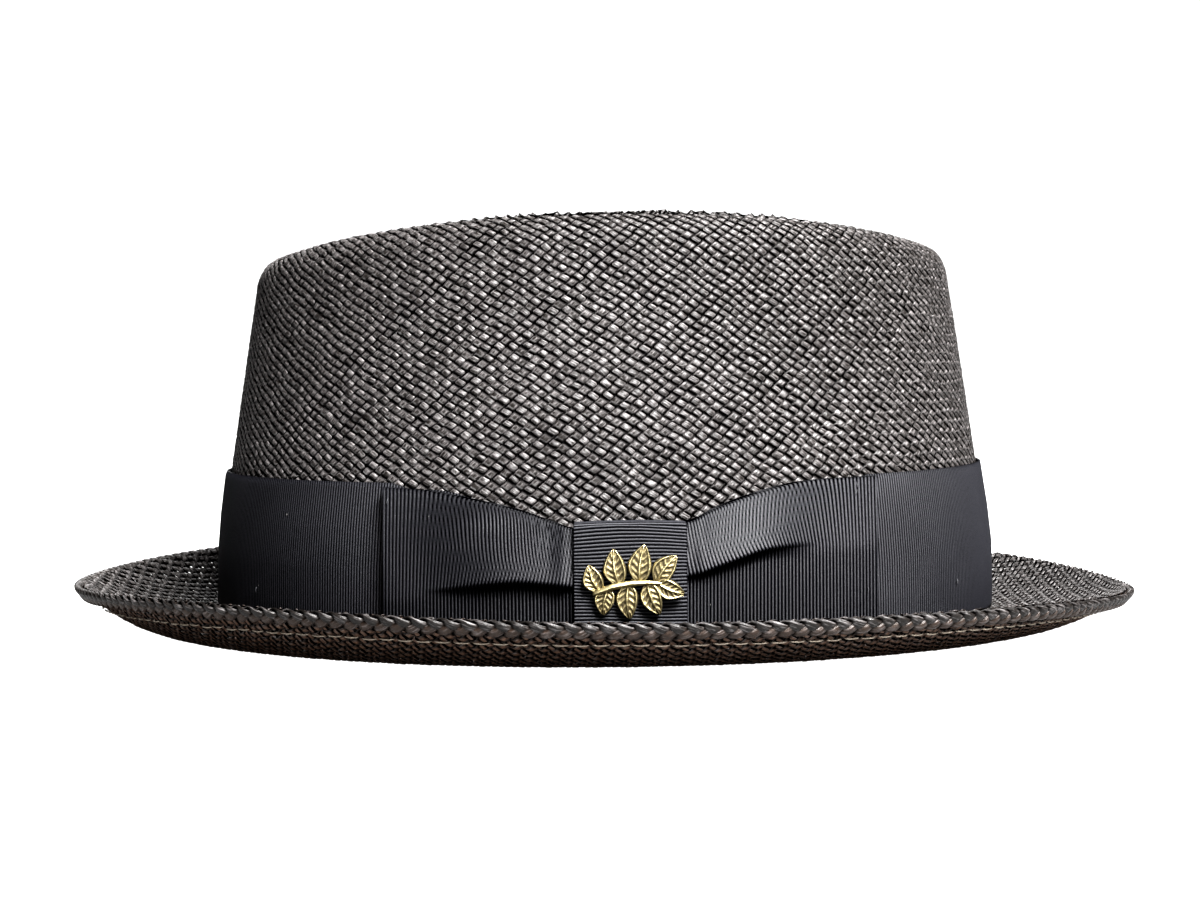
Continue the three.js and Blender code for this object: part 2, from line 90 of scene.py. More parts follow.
BOW_X = 0.0063
LOOP_REACH = 0.0586
LOOP_INNER = 0.0074
LOOP_BACK_FREE = 0.0015
LOOP_BACK_HELD = 0.00265
LOOP_HOLLOW = 0.0007
PINCH_HOLLOW = 0.0003
WRAP_HALF_WIDTH = 0.0134
WRAP_BACK = 0.0015
WRAP_FRONT = 0.006525
WRAP_TOP = 0.0336
WRAP_BOTTOM = 0.0064
WRAP_CORNER = 0.0015
WRAP_TRIM = 0.0013
PIN_X = 0.0068
PIN_Z = 0.0198
PIN_STAND_OFF = 0.00045

# Where the crown's weave changes from one piece to the next
BAND_SEEN_ABOVE = 0.0295
GROOVE_START = 0.0068

# Grids of points on the straw's skins: how far they go, and hidden first rows that start further out
COLUMNS = 720
TURNS = np.arange(COLUMNS) * TURN / COLUMNS
WALL_ROWS = 70
WALL_START = (STRAW - 0.0004, -0.0042)
TIP_START = (GROOVE_HEIGHT + 0.0003, GROOVE_INSET - 0.0014)
BRIM_BACK = 0.0013 + 0.0016 * math.sqrt(0.5)
BRIM_UNDER_EDGE = 0.0015
BRIM_BEYOND = (1.05, 1.025)
END_GAP = 0.0001

# Depth of the weave's middle under each skin, negative above it, and how the flat weaves are turned
WALL_DEPTH = 0.42 * STRAW
TIP_DEPTH = 0.45 * STRAW
BRIM_DEPTH = -0.5 * STRAW
TIP_ANGLE = math.radians(40)
TIP_CENTRE = (1e-5, 1e-5)
BRIM_ANGLE = math.radians(42)

# Corners of a strand's ring: across in half widths, height in half thicknesses, and the way it
# faces, 1 out, 0 sideways and -1 in
FLAT_TOP = ((-1.0, -0.25, 0), (-0.6, 1.0, 1), (0.6, 1.0, 1), (1.0, -0.25, 0))
PLAIN = ((-1.0, -0.25, 0), (0.0, 1.0, 1), (1.0, -0.25, 0))
TWO_SIDED = (*PLAIN, (0.0, -1.0, -1))
# Each family's half level length on a float and its width, in cells, how steeply the painted shade
# darkens its ends, and the painted shade of its sides: painted dark lines run between the strands of
# the first family, and fainter ones across them
FLOAT_HALF = (0.33, 0.22)
FAMILY_WIDTH = (0.79, 1.05)
FAMILY_END_SHADE = (3.2, 0.85)
FAMILY_SIDE_SHADE = (-0.8, 0.8)
# How much strands and single floats differ in shade, swing, twist and width
STRAND_TONE = 0.5
FLOAT_TONE = 0.5
SWING_SPREAD = 0.14
TWIST_SPREAD = 0.18
WIDTH_SPREAD = 0.07
WIDTH_LIMITS = (0.72, 1.14)
FLOAT_WIDER = 0.06
CROWN_SEED, TIP_SEED, BRIM_SEED, PLAIT_SEED, STITCH_SEED = 11, 23, 37, 5, 9

# Plait and stitches
PLAIT_GIRTH = 0.823
PLAIT_STEPS = 18
PLAIT_SIDES = 6
PLAIT_MAP = (0, 0.3, 0.7, 1, 0.7, 0.3)
PLAIT_INNER_ROW = 5.0
PLAIT_STEEPER = 0.35
PLAIT_STAND_OFF = 0.0010
PLAIT_LIFT = 0.0005
PLAIT_RISE = 0.00145
PLAIT_RISE_ENDS = 0.0004
PLAIT_HALF_STRAND = 0.0013
PLAIT_THICKNESS = 0.00040
STITCH_ROW = 6.2
STITCH_BELOW = 3
STITCH_HALF = 0.44
STITCH_ARCH = 0.00052
STITCH_SINK = 0.0003
STITCH_DRIFT = 0.00012

# Band and the ribs that band and bow share
BAND_GIRTH = 0.598
BAND_SHARES = (0, 0.03, 0.2, 0.45, 0.7, 0.85, 0.97, 1.0)
BAND_BACK_SHARES = (1.0, 0.5, 0.0)
BAND_THREADS = 46
SELVEDGE_DIP = 0.00018
SLOW_RIPPLE, FAST_RIPPLE = 0.00012, 0.00008
RIB_STEPS = 4
BACK_RIB = 0.3

# Top edge and crease of each loop's front layer, in millimetres: distance from the bow's centre,
# height. The crease fades out over a run, and the ribs above it lean towards the wrap
LOOP_SHAPES = {
    "front": {
        "side": -1,
        "top": ((13.4, 32.0), (16.8, 33.2), (21.0, 34.8), (25.1, 36.3), (31.3, 37.9), (39.3, 39.5),
                (46.0, 40.8), (52.0, 41.3), (58.6, 41.5)),
        "crease": ((13.4, 18.0), (21.0, 18.6), (26.3, 19.0), (32.5, 18.5), (39.3, 17.6), (44.0, 16.9),
                   (58.6, 15.0)),
        "fade": (30.0, 50.0),
        "lean": 0.24,
    },
    "back": {
        "side": 1,
        "top": ((12.8, 33.2), (17.8, 36.0), (24.3, 38.6), (31.7, 40.8), (37.9, 42.1), (44.1, 42.7),
                (58.6, 42.9)),
        "crease": ((13.4, 20.3), (17.8, 21.8), (21.9, 23.2), (26.7, 25.0), (29.8, 26.0), (35.9, 26.6),
                   (58.6, 27.5)),
        "fade": (26.0, 44.0),
        "lean": 0.34,
    },
}
LOOP_FOLD = 0.0006
LOOP_BOTTOM = 0.0056
PINCH_BOTTOM_RISE = 0.0024
LOOP_LOW_SHARES = np.linspace(0, 1, 9)
LOOP_HIGH_SHARES = (0.012, 0.03, 0.06, 0.1, 0.16, 0.24, 0.34, 0.46, 0.6, 0.74, 0.86, 0.95, 1.0)
SWELL = 0.0025
SWELL_HELD = 0.6
HELD_RUN, SETTLE_RUN = 0.003, 0.006
SWELL_FALL = 0.011
LIP = 0.0008
CREASE_DIP, CREASE_DIP_FALL = 0.00025, 0.0022
LOWER_LIFT, LOWER_LIFT_FALL = 0.0006, 0.009
BILLOW, BILLOW_RUN = 0.0005, 0.045
LEAN_CENTRE, LEAN_WIDTH = 0.027, 0.017
LEAN_MORE, LEAN_MORE_ABOVE = 0.4, 0.012
LOOP_EDGE_RIB, WRAP_EDGE_RIB = 0.55, 0.35
# Painted shade along each loop's crease, falling off above and below it over these distances in metres, and
# painted shade over the front layer below the crease
CREASE_SHADE = (0.0006, 0.0012)
LOWER_SHADE = 0.16
LOOP_MAP_HEIGHT = 1200
WRAP_STATIONS = (-1, -0.98, -0.9, -0.6, -0.2, 0.2, 0.6, 0.9, 0.98, 1)
WRAP_BACK_STATIONS = (1, 0, -1)
WRAP_SAG, WRAP_WAVER = 0.0004, 0.00025
# Tacks: place along the hat, height, distance from the wall in millimetres, and slant
TACKS = ((-50.6, 38.3, 4.0, 0.2), (59.2, 41.0, 4.0, -0.1), (59.0, 39.2, 4.0, 0.3),
         (61.7, 15.4, 4.0, 0.1), (-87.0, 14.1, 1.45, 0.2), (88.0, 14.5, 1.45, 0.0))
TACK_HALF = 0.00075
TACK_ARCH = 0.00022
TACK_GREY = (0.05, 0.05, 0.055)

# The sprig's stem and leaves, in millimetres from the pin's middle and in degrees
STEM = ((-9.8, -2.6), (-5.4, -1.0), (-1.0, -0.2), (3.4, 0.0), (6.6, -0.2))
LEAVES = (
    (-8.2, 112, 6.8, 5.0), (-6.0, 258, 6.6, 5.0), (-3.6, 98, 8.8, 5.6), (-1.4, 272, 8.4, 5.4),
    (1.2, 82, 9.2, 5.8), (3.0, 292, 8.2, 5.2), (5.0, 52, 8.2, 5.4), (5.4, 338, 7.0, 4.8),
)
LEAF_PLATE, LEAF_RELIEF, LEAF_EDGE = 0.825, 0.62, 0.12
LEAF_RIM, LEAF_RIM_WIDTH = 0.84, 0.12
PIN_HALF_HEIGHT = 0.0095

# Straw finish: share of brown on hidden faces and of light straw, for each part, how tone, patches,
# spots and fibre lines move the light share, then pairs of factor and start, the first of which turns
# the lift value into the painted crevice shade mask
CROWN_STRAW, BRIM_STRAW, PLAIT_STRAW = (0.5, 0.42), (0.9, 0.34), (0.2, 0.12)
STRAW_START = -3.45
STRAW_TONE, STRAW_PATCHES, STRAW_SPOTS, STRAW_LINES = 0.12, 0.4, 0.6, 5.6
STRAW_PAINTED_SHADE_MASK = (1.6, -0.12)
STRAW_ROUGH, STRAW_ROUGH_RAISED = (0.7, 0.43), -0.34
STRAW_GLOSS = (0.34, 0.34)
STRAW_BUMP = (1.0, 0.00034)
# Ribbon, thread and brass finish
# Factor and start of the painted shade between the ribbon's ribs
RIBBON_RIB_SHADE = (1.35, -0.97)
RIBBON_LINES, RIBBON_PATCHES = 0.9, 0.5
RIBBON_GLOSS = 0.62
RIBBON_BUMP = (0.35, 0.00008)
SPECK_SIZE, SPECK_RARITY, SPECK_SHARE = 0.055, 0.9, 0.25
SPECK_COLOUR = (0.30, 0.29, 0.27)
PLY_SHADE = 0.35
PLY_BUMP = (0.4, 0.00006)
BRASS_STAIN = (0.8, -0.4)
BRASS_ROUGH = (-0.28, 0.6)
BRASS_BUMP = (0.3, 0.00005)

# Stage: name, place, size in metres and power in watts of each light, then floor, sky and camera
LIGHTS = (
    ("key_light", (0.50, -0.90, 1.26), 0.6, 170.0),
    ("back_light", (-0.10, 1.05, 0.70), 0.6, 6.0),
    ("front_light", (0.12, -1.40, 0.06), 0.30, 8.5),
)
LIGHTS_AIM = (0.0, 0.0, 0.06)
FLOOR_BASE, FLOOR_GLOW, FLOOR_DROP = 0.22, 0.84, 0.0002
SKY_LIGHT = 0.012
SENSOR = 36.0
FOCAL_SHARE = 2674.4 / 1200
CAMERA_PLACE = (-0.00102, -0.72, 0.08244)
CAMERA_DIP, CAMERA_ROLL = 0.0500, -0.0080


# Settings

def length_setting(name, description, default, low=0.0001):
    """A length in metres with its lowest value."""
    return bpy.props.FloatProperty(
        name=name, description=description, default=default, min=low, unit="LENGTH")


def count_setting(name, description, default):
    """A number of strands, at least 20."""
    return bpy.props.IntProperty(name=name, description=description, default=default, min=20)


def slant_setting(name, description, degrees):
    """An angle given in degrees."""
    return bpy.props.FloatProperty(
        name=name, description=description, default=math.radians(degrees), subtype="ANGLE")


def colour_setting(name, description, default):
    """A colour as three shares of light."""
    return bpy.props.FloatVectorProperty(
        name=name, description=description, default=default, subtype="COLOR", size=3, min=0, max=1)


class HatSizes(bpy.types.PropertyGroup):
    """Sizes of the weave, ribbon and trim that a maker would change."""

    strands_falling: count_setting(
        "Falling strands", "Wall strands that fall towards the back, even in number", 150)
    strands_rising: count_setting(
        "Rising strands", "Wall strands that rise towards the back, even in number", 166)
    slant_falling: slant_setting("Falling slant", "Angle of the falling strands to the hat's base", 32)
    slant_rising: slant_setting("Rising slant", "Angle of the rising strands to the hat's base", 40)
    brim_pitch: length_setting("Brim pitch", "Strand spacing on the brim", 0.0022, 0.0015)
    tip_pitch: length_setting("Tip pitch", "Strand spacing on the sunken tip of the crown", 0.0020, 0.0015)
    strand_swing: length_setting("Strand swing", "How far a strand's middle rises over a crossing", 0.00026)
    strand_half_thickness: length_setting(
        "Strand half thickness", "Half the thickness of one straw strand", 0.00029)
    strand_fill: bpy.props.FloatProperty(
        name="Strand fill", description="Share of the spacing that a strand's width fills",
        default=0.97, min=0.5, max=1.0, subtype="FACTOR")
    rib_pitch: length_setting("Rib pitch", "Spacing of the ribbon's cross ribs", 0.00083, 0.0004)
    rib_height: length_setting("Rib height", "Depth of the ribbon's cross ribs", 0.00030, 0.0)
    plait_pitch: length_setting(
        "Plait pitch", "Spacing of the bumps along the plaited edge", 0.0037, 0.002)
    plait_swing: length_setting(
        "Plait swing", "Half the sideways travel of a strand in the plait", 0.00118, 0.0005)
    stitch_pitch: length_setting("Stitch pitch", "Spacing of the stitches under the plait", 0.0045, 0.002)
    thread_radius: length_setting("Thread radius", "Radius of the sewing thread", 0.00019)


class HatColours(bpy.types.PropertyGroup):
    """Dye, ribbon, thread and metal colours."""

    straw_dark: colour_setting("Straw dark", "Straw where the dye has taken most", (0.010, 0.0082, 0.0072))
    straw_light: colour_setting(
        "Straw light", "Straw where the dye is thin and rubbed", (0.102, 0.094, 0.093))
    straw_under: colour_setting(
        "Straw underside", "Browner straw on the hat's hidden faces", (0.115, 0.066, 0.042))
    # Painted shade: the colour the straw is darkened towards where a strand dives under a crossing and down
    # its sides
    straw_painted_crevice_shade: colour_setting(
        "Straw crevice", "Straw where painted shade darkens it as it dives under a crossing", (0.0015, 0.0012, 0.0011))
    # Painted shade: the near black that the ribbon is darkened towards between its ribs
    ribbon_dark_painted_shade: colour_setting(
        "Ribbon dark", "Ribbon in the bottom of its ribs", (0.0004, 0.0004, 0.0007))
    ribbon_light: colour_setting("Ribbon light", "Ribbon on top of its ribs", (0.0070, 0.0070, 0.0105))
    thread: colour_setting("Thread", "Sewing thread under the plaited edge", (0.38, 0.33, 0.27))
    brass_bright: colour_setting(
        "Brass bright", "Brass rubbed bright on the raised parts", (0.50, 0.43, 0.25))
    brass_dark: colour_setting("Brass dark", "Tarnish left in the hollows", (0.045, 0.036, 0.024))


# Shape of the hat

def wall_half_length(z):
    """Outer half-length of the straw wall: upright low down, then leaning in by a soft bend."""
    run = LEAN_SOFTNESS * np.log1p(np.exp((z - LEAN_START) / LEAN_SOFTNESS))
    return CROWN_HALF_LENGTH - WALL_LEAN * run


def rim_height(turn):
    """Height of the rim: a mean, a lift at the back, an arch over the sides and a small fourfold wave."""
    return (RIM_HEIGHT + RIM_REAR_LIFT * np.cos(turn) + RIM_SIDE_LIFT * np.sin(turn) ** 2
            + RIM_FOURFOLD * np.cos(4 * turn))


def edge_height(turn):
    """Height of the brim's edge: a mean, lifts at the front, sides and rear and a small fourfold wave."""
    return (EDGE_HEIGHT - EDGE_FRONT_LIFT * np.cos(turn) - EDGE_SIDE_LIFT * np.cos(2 * turn)
            + EDGE_FOURFOLD * np.cos(4 * turn) + EDGE_REAR_RISE * np.clip(np.cos(turn), 0, 1) ** 3)


def crown_point(turn, z, inset):
    """Point of the crown's oval at a height, drawn in from the wall by an inset."""
    a = wall_half_length(z)
    turn, z, a, inset = np.broadcast_arrays(turn, z, a, inset)
    return np.stack([(a - inset) * np.cos(turn), (a * CROWN_RATIO - inset) * np.sin(turn), z], -1)


def wall_point(turn, z, out):
    """Point on the side wall moved out along the oval's level normal."""
    a = wall_half_length(z)
    b = a * CROWN_RATIO
    nx, ny = np.cos(turn) / a, np.sin(turn) / b
    size = np.hypot(nx, ny)
    x, y, z, _ = np.broadcast_arrays(
        a * np.cos(turn) + out * nx / size, b * np.sin(turn) + out * ny / size, z, turn)
    return np.stack([x, y, z], -1)


def side_point(x, z, out):
    """The same on the bow's side of the hat for a position along the hat."""
    return wall_point(-np.arccos(np.clip(x / wall_half_length(z), -1, 1)), z, out)


def smooth(value):
    """Soft step from 0 to 1."""
    t = np.clip(value, 0, 1)
    return t * t * (3 - 2 * t)


def pinch_at(reach):
    """1 at the wrap and 0 by the loop's middle, for a distance from the bow's centre."""
    return 1 - smooth((reach - WRAP_HALF_WIDTH) / (PINCH_RUN * (LOOP_REACH - WRAP_HALF_WIDTH)))


def band_top(turn):
    """Height of the band's top edge, which dips behind the bow with the loops' pinched tops."""
    top = BAND_TOP + BAND_TOP_REAR_LIFT * np.cos(turn)
    reach = np.abs(wall_half_length(BAND_TOP) * np.cos(turn) - BOW_X)
    behind = 1 - smooth((reach - LOOP_REACH + BAND_TUCK_RUN) / BAND_TUCK_RUN)
    dip = (LOOP_TOP - PINCH_TOP) * pinch_at(reach) + BAND_TUCK * behind
    return top - np.where(np.sin(turn) < 0, dip, 0.0)


def unit(vectors):
    """The vectors, each over its own length."""
    return vectors / np.maximum(np.linalg.norm(vectors, axis=-1, keepdims=True), 1e-12)


def added_up(steps):
    """Length at the start and after each step."""
    return np.concatenate([[0.0], np.cumsum(steps)])


def pairs(rows, columns):
    """Every row value with every column value, row by row, as corner-map points."""
    return np.stack(np.meshgrid(rows, columns, indexing="ij"), -1).reshape(-1, 2)


def oval_shares(steps, start=0.0):
    """Turn angles round the crown's oval and the share of its girth up to each."""
    turn = start + np.arange(steps + 1) * TURN / steps
    oval = np.stack([np.cos(turn), CROWN_RATIO * np.sin(turn)], 1)
    run = added_up(np.linalg.norm(np.diff(oval, axis=0), axis=1))
    return turn, run / run[-1]


def grid_normals(points):
    """Unit normals of a grid closed round its columns: step round crossed with step along."""
    around = np.roll(points, -1, 1) - np.roll(points, 1, 1)
    return unit(np.cross(around, np.gradient(points, axis=0)))


def read_grid(grid, row, turn):
    """Grid value at a broken row number and a turn angle, mixed from the four nearest."""
    rows, columns = grid.shape[:2]
    row = np.clip(row, 0, rows - 1.0001)
    i = row.astype(int)
    part = (row - i)[..., None]
    column = np.mod(turn / TURN * columns, columns)
    j = np.minimum(column.astype(int), columns - 1)
    share = (column - j)[..., None]
    k = (j + 1) % columns
    low = grid[i, j] * (1 - share) + grid[i, k] * share
    high = grid[i + 1, j] * (1 - share) + grid[i + 1, k] * share
    return low * (1 - part) + high * part


class Skin:
    """Grid of points on one skin of the straw, its normals and the mean length along its rows."""

    def __init__(self, rows):
        self.points = np.stack(rows)
        self.normals = grid_normals(self.points)
        self.steps = np.linalg.norm(np.diff(self.points, axis=0), axis=2)
        self.length = added_up(self.steps.mean(1))

    def on_row(self, row, turn):
        """Point and normal at a broken row number and a turn angle."""
        return read_grid(self.points, row, turn), unit(read_grid(self.normals, row, turn))

    def at(self, length, turn):
        """Point and normal at a length along the rows and a turn angle."""
        return self.on_row(np.interp(length, self.length, np.arange(len(self.length))), turn)


def wall_skin():
    """Outer skin from the brim's fillet up the wall, round the rim and down to the groove's floor."""
    rows = [crown_point(TURNS, *WALL_START)]
    for angle in np.radians(np.linspace(8, 90, 8)):
        z = STRAW + BREAK_RADIUS * (1 - math.cos(angle))
        rows.append(crown_point(TURNS, z, BREAK_RADIUS * (math.sin(angle) - 1)))
    low = STRAW + BREAK_RADIUS
    for share in np.linspace(0, 1, WALL_ROWS)[1:]:
        rows.append(crown_point(TURNS, low + (rim_height(TURNS) - SHOULDER_DROP - low) * share, 0))
    for angle in np.radians(np.linspace(0, 90, 15)[1:]):
        z = rim_height(TURNS) - SHOULDER_DROP * (1 - math.sin(angle))
        rows.append(crown_point(TURNS, z, SHOULDER_INSET * (1 - math.cos(angle))))
    crest = len(rows) - 1
    for share in np.linspace(0, 1, 26)[1:]:
        inward = SHOULDER_INSET + (GROOVE_INSET - SHOULDER_INSET) * share
        height = 0.5 * (1 + math.cos(math.pi * share ** 0.9))
        z = GROOVE_HEIGHT + (rim_height(TURNS) - GROOVE_HEIGHT) * height
        rows.append(top_point(TURNS, z, inward))
    skin = Skin(rows)
    skin.crest = skin.length[crest]
    return skin


def top_point(turn, z, inset):
    """Point inside the rim, inset from the wall's oval at the mean rim height."""
    a = wall_half_length(RIM_HEIGHT)
    turn, z = np.broadcast_arrays(turn, z)
    return np.stack([(a - inset) * np.cos(turn), (a * CROWN_RATIO - inset) * np.sin(turn), z], -1)


def tip_skin():
    """Outer skin from the groove's floor up to the plateau and in to its middle."""
    rows = [top_point(TURNS, *TIP_START)]
    for share in np.linspace(0, 1, 24):
        z = GROOVE_HEIGHT + (PLATEAU_HEIGHT - GROOVE_HEIGHT) * float(smooth(share))
        rows.append(top_point(TURNS, z, GROOVE_INSET + (PLATEAU_INSET - GROOVE_INSET) * share))
    edge = top_point(TURNS, PLATEAU_HEIGHT, PLATEAU_INSET)
    for share in np.linspace(1, 0.002, 40)[1:]:
        row = edge * [share, share, 1]
        row[:, 2] += PLATEAU_DOME * (1 - share ** 2)
        rows.append(row)
    return Skin(rows)


def brim_skin(beyond=()):
    """Underside of the brim from its edge in to the head opening, normals upwards.

    Shares over 1 go on past the edge, so the weave ends behind the plait.
    """
    rows = []
    low = CROWN_HALF_LENGTH * CROWN_RATIO
    for share in (*beyond, *np.linspace(1, 0, 60)):
        a = CROWN_HALF_LENGTH + (BRIM_HALF_LENGTH - BRIM_BACK - CROWN_HALF_LENGTH) * share
        b = low + (BRIM_HALF_WIDTH - BRIM_BACK - low) * share
        curl = max(0.0, (share - FLAT_SHARE) / (1 - FLAT_SHARE)) ** CURL_POWER
        z = (edge_height(TURNS) - BRIM_UNDER_EDGE) * curl
        rows.append(np.stack([a * np.cos(TURNS), b * np.sin(TURNS), z], -1))
    return Skin(rows)


# Meshes

def make_piece(name, points, faces, slot_name, material, replaced=(), uv=None, caps=None, **values):
    """Mesh object from points, four-cornered faces, end caps, a corner map and named point values."""
    sets = [np.asarray(f, np.int32) for f in (faces, caps) if f is not None and len(f)]
    corners = np.concatenate([f.ravel() for f in sets])
    sizes = np.concatenate([np.full(len(f), f.shape[1], np.int32) for f in sets])
    mesh = bpy.data.meshes.new(name)
    mesh.vertices.add(len(points))
    mesh.vertices.foreach_set("co", np.asarray(points, np.float32).ravel())
    mesh.loops.add(len(corners))
    mesh.loops.foreach_set("vertex_index", corners)
    mesh.polygons.add(len(sizes))
    starts = np.cumsum(sizes) - sizes
    mesh.polygons.foreach_set("loop_start", starts.astype(np.int32))
    mesh.polygons.foreach_set("use_smooth", np.ones(len(sizes), bool))
    if uv is not None:
        layer = mesh.uv_layers.new(name="UVMap")
        layer.data.foreach_set("uv", np.asarray(uv, np.float32)[corners].ravel())
    for key, value in values.items():
        attribute = mesh.attributes.new(key, "FLOAT", "POINT")
        attribute.data.foreach_set("value", np.asarray(value, np.float32).ravel())
    mesh.update(calc_edges=True)
    mesh.materials.append(material)
    piece = bpy.data.objects.new(name, mesh)
    bpy.context.scene.collection.objects.link(piece)
    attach(piece, "root")
    if replaced:
        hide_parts(*replaced)
    return piece


def ring_faces(rows, columns, close_rows):
    """Faces of a grid that is closed round its columns, and along its rows if asked."""
    i = np.arange(rows if close_rows else rows - 1)[:, None]
    j = np.arange(columns)[None, :]
    i2, j2 = (i + 1) % rows, (j + 1) % columns
    quad = np.stack(np.broadcast_arrays(
        i * columns + j, i * columns + j2, i2 * columns + j2, i2 * columns + j), -1)
    return quad.reshape(-1, 4)


def outwards(points, faces):
    """The faces, turned round if the closed mesh they make has a negative volume."""
    a, b, c, d = (points[faces[:, k]] for k in range(4))
    volume = (np.cross(a, b) * c).sum() + (np.cross(a, c) * d).sum()
    return faces if volume > 0 else faces[:, ::-1]


def capped(rows, columns):
    """Faces of closed rings in a row, both ends shut by strips between the ring's two halves."""
    faces = [ring_faces(rows, columns, False)]
    j = np.arange(columns // 2 - 1)
    for base, order in ((0, 1), ((rows - 1) * columns, -1)):
        cap = np.stack([base + j, base + columns - 1 - j, base + columns - 2 - j, base + j + 1], 1)
        faces.append(cap[:, ::order])
    return np.concatenate(faces)


# Weave

class Cloth:
    """Points, four-cornered faces, end caps, corner map and point values of a set of strands."""

    def __init__(self, points, faces, caps, uv, values):
        self.points, self.faces, self.caps, self.uv, self.values = points, faces, caps, uv, values

    def joined(self, other):
        """This cloth and another as one."""
        shift = len(self.points)
        return Cloth(np.concatenate([self.points, other.points]),
                     np.concatenate([self.faces, other.faces + shift]),
                     np.concatenate([self.caps, other.caps + shift]),
                     np.concatenate([self.uv, other.uv]),
                     {k: np.concatenate([v, other.values[k]]) for k, v in self.values.items()})

    def piece(self, name, straw):
        """The cloth as one piece of the hat's straw."""
        return make_piece(name, self.points, self.faces, "straw", straw, ("straw_body",), self.uv,
                          self.caps, **self.values)


def strand_points(family, lines, reach, place, inside, sizes, seed, corners):
    """Flat-topped strands along one family of lattice lines.

    A strand lies level over one crossing, dives between two and lies level under the next, with
    its neighbours the other way round. Each float is a little wider, twisted and shaded its own way.
    """
    rng = np.random.default_rng(seed + family)
    crossing = np.repeat(np.arange(-reach, reach), 2)
    along = crossing + 0.5 + np.tile([-FLOAT_HALF[family], FLOAT_HALF[family]], 2 * reach)
    line = np.asarray(lines)[:, None]
    line, along, crossing = np.broadcast_arrays(line, along[None, :], crossing[None, :])
    lattice = (line + 0.5) + 1j * along if family == 0 else along + 1j * (line + 0.5)
    mask = inside(lattice)
    joined = mask[:, :-1] | mask[:, 1:]
    used = np.zeros_like(mask)
    used[:, :-1] |= joined
    used[:, 1:] |= joined

    wave = np.where((line + crossing) % 2 == 0, 1.0, -1.0) * (1.0 if family == 0 else -1.0)
    row, cell = np.arange(len(lines))[:, None], crossing + reach

    def each_strand(spread):
        """One random number a strand."""
        return spread * rng.normal(0, 1, (len(lines), 1))

    def each_float(spread):
        """One random number a float, the same at both of its ends."""
        return spread * rng.normal(0, 1, (len(lines), 2 * reach))[row, cell]

    tone = each_strand(STRAND_TONE) + each_float(FLOAT_TONE)
    swing = sizes.strand_swing * (1 + each_float(SWING_SPREAD))
    twist = sizes.strand_half_thickness * each_float(TWIST_SPREAD)
    width = FAMILY_WIDTH[family] + each_strand(WIDTH_SPREAD) + each_float(WIDTH_SPREAD)
    half = 0.5 * sizes.strand_fill * np.clip(width, *WIDTH_LIMITS) * (1 + FLOAT_WIDER * wave)

    lattice, wave, tone, along = lattice[used], wave[used], tone[used], along[used]
    swing, twist, half = swing[used], twist[used], half[used]
    lattice = lattice + place.wobble(lattice)
    side = half * (1 if family == 0 else -1j)
    middle, normal = place(lattice)
    left, right = (place(lattice + turn * side)[0] - middle for turn in (-1, 1))
    thick = sizes.strand_half_thickness
    rings = np.stack([
        middle + (right if across > 0 else left) * abs(across)
        + normal * (swing * wave + thick * height + twist * across)[:, None]
        for across, height, _ in corners
    ], 1)

    count = len(corners)
    number = np.cumsum(used.ravel()).reshape(used.shape) - 1
    start = number[:, :-1][joined] * count
    nxt = number[:, 1:][joined] * count
    faces = []
    for k in range(count):
        m = (k + 1) % count
        faces.append(np.stack([start + k, start + m, nxt + m, nxt + k], 1))
    before = np.zeros_like(mask)
    before[:, 1:] = joined
    after = np.zeros_like(mask)
    after[:, :-1] = joined
    first = number[used & ~before][:, None] * count
    last = number[used & ~after][:, None] * count
    caps = np.concatenate([first + np.arange(count)[::-1], last + np.arange(count)])
    across = 0.5 + 0.5 * np.array([c[0] for c in corners])
    facing = np.array([c[2] for c in corners])[None, :]
    uv = np.stack(np.broadcast_arrays(
        along[:, None], across[None, :] + np.round(tone * 37)[:, None]), -1)
    tones = np.repeat(tone, count)
    under = np.broadcast_to(facing == -1, (len(tone), count)).astype(float)
    # Painted shade mask, stored as the lift value: it falls where a strand dives under a crossing, and each
    # family sets it on the strand's sides
    depth = FAMILY_END_SHADE[family] * wave[:, None] * facing + FAMILY_SIDE_SHADE[family] * (facing == 0)
    return Cloth(rings.reshape(-1, 3), np.concatenate(faces), caps, uv.reshape(-1, 2),
                 {"tone": tones, "under": under.ravel(), "lift": depth.ravel()})


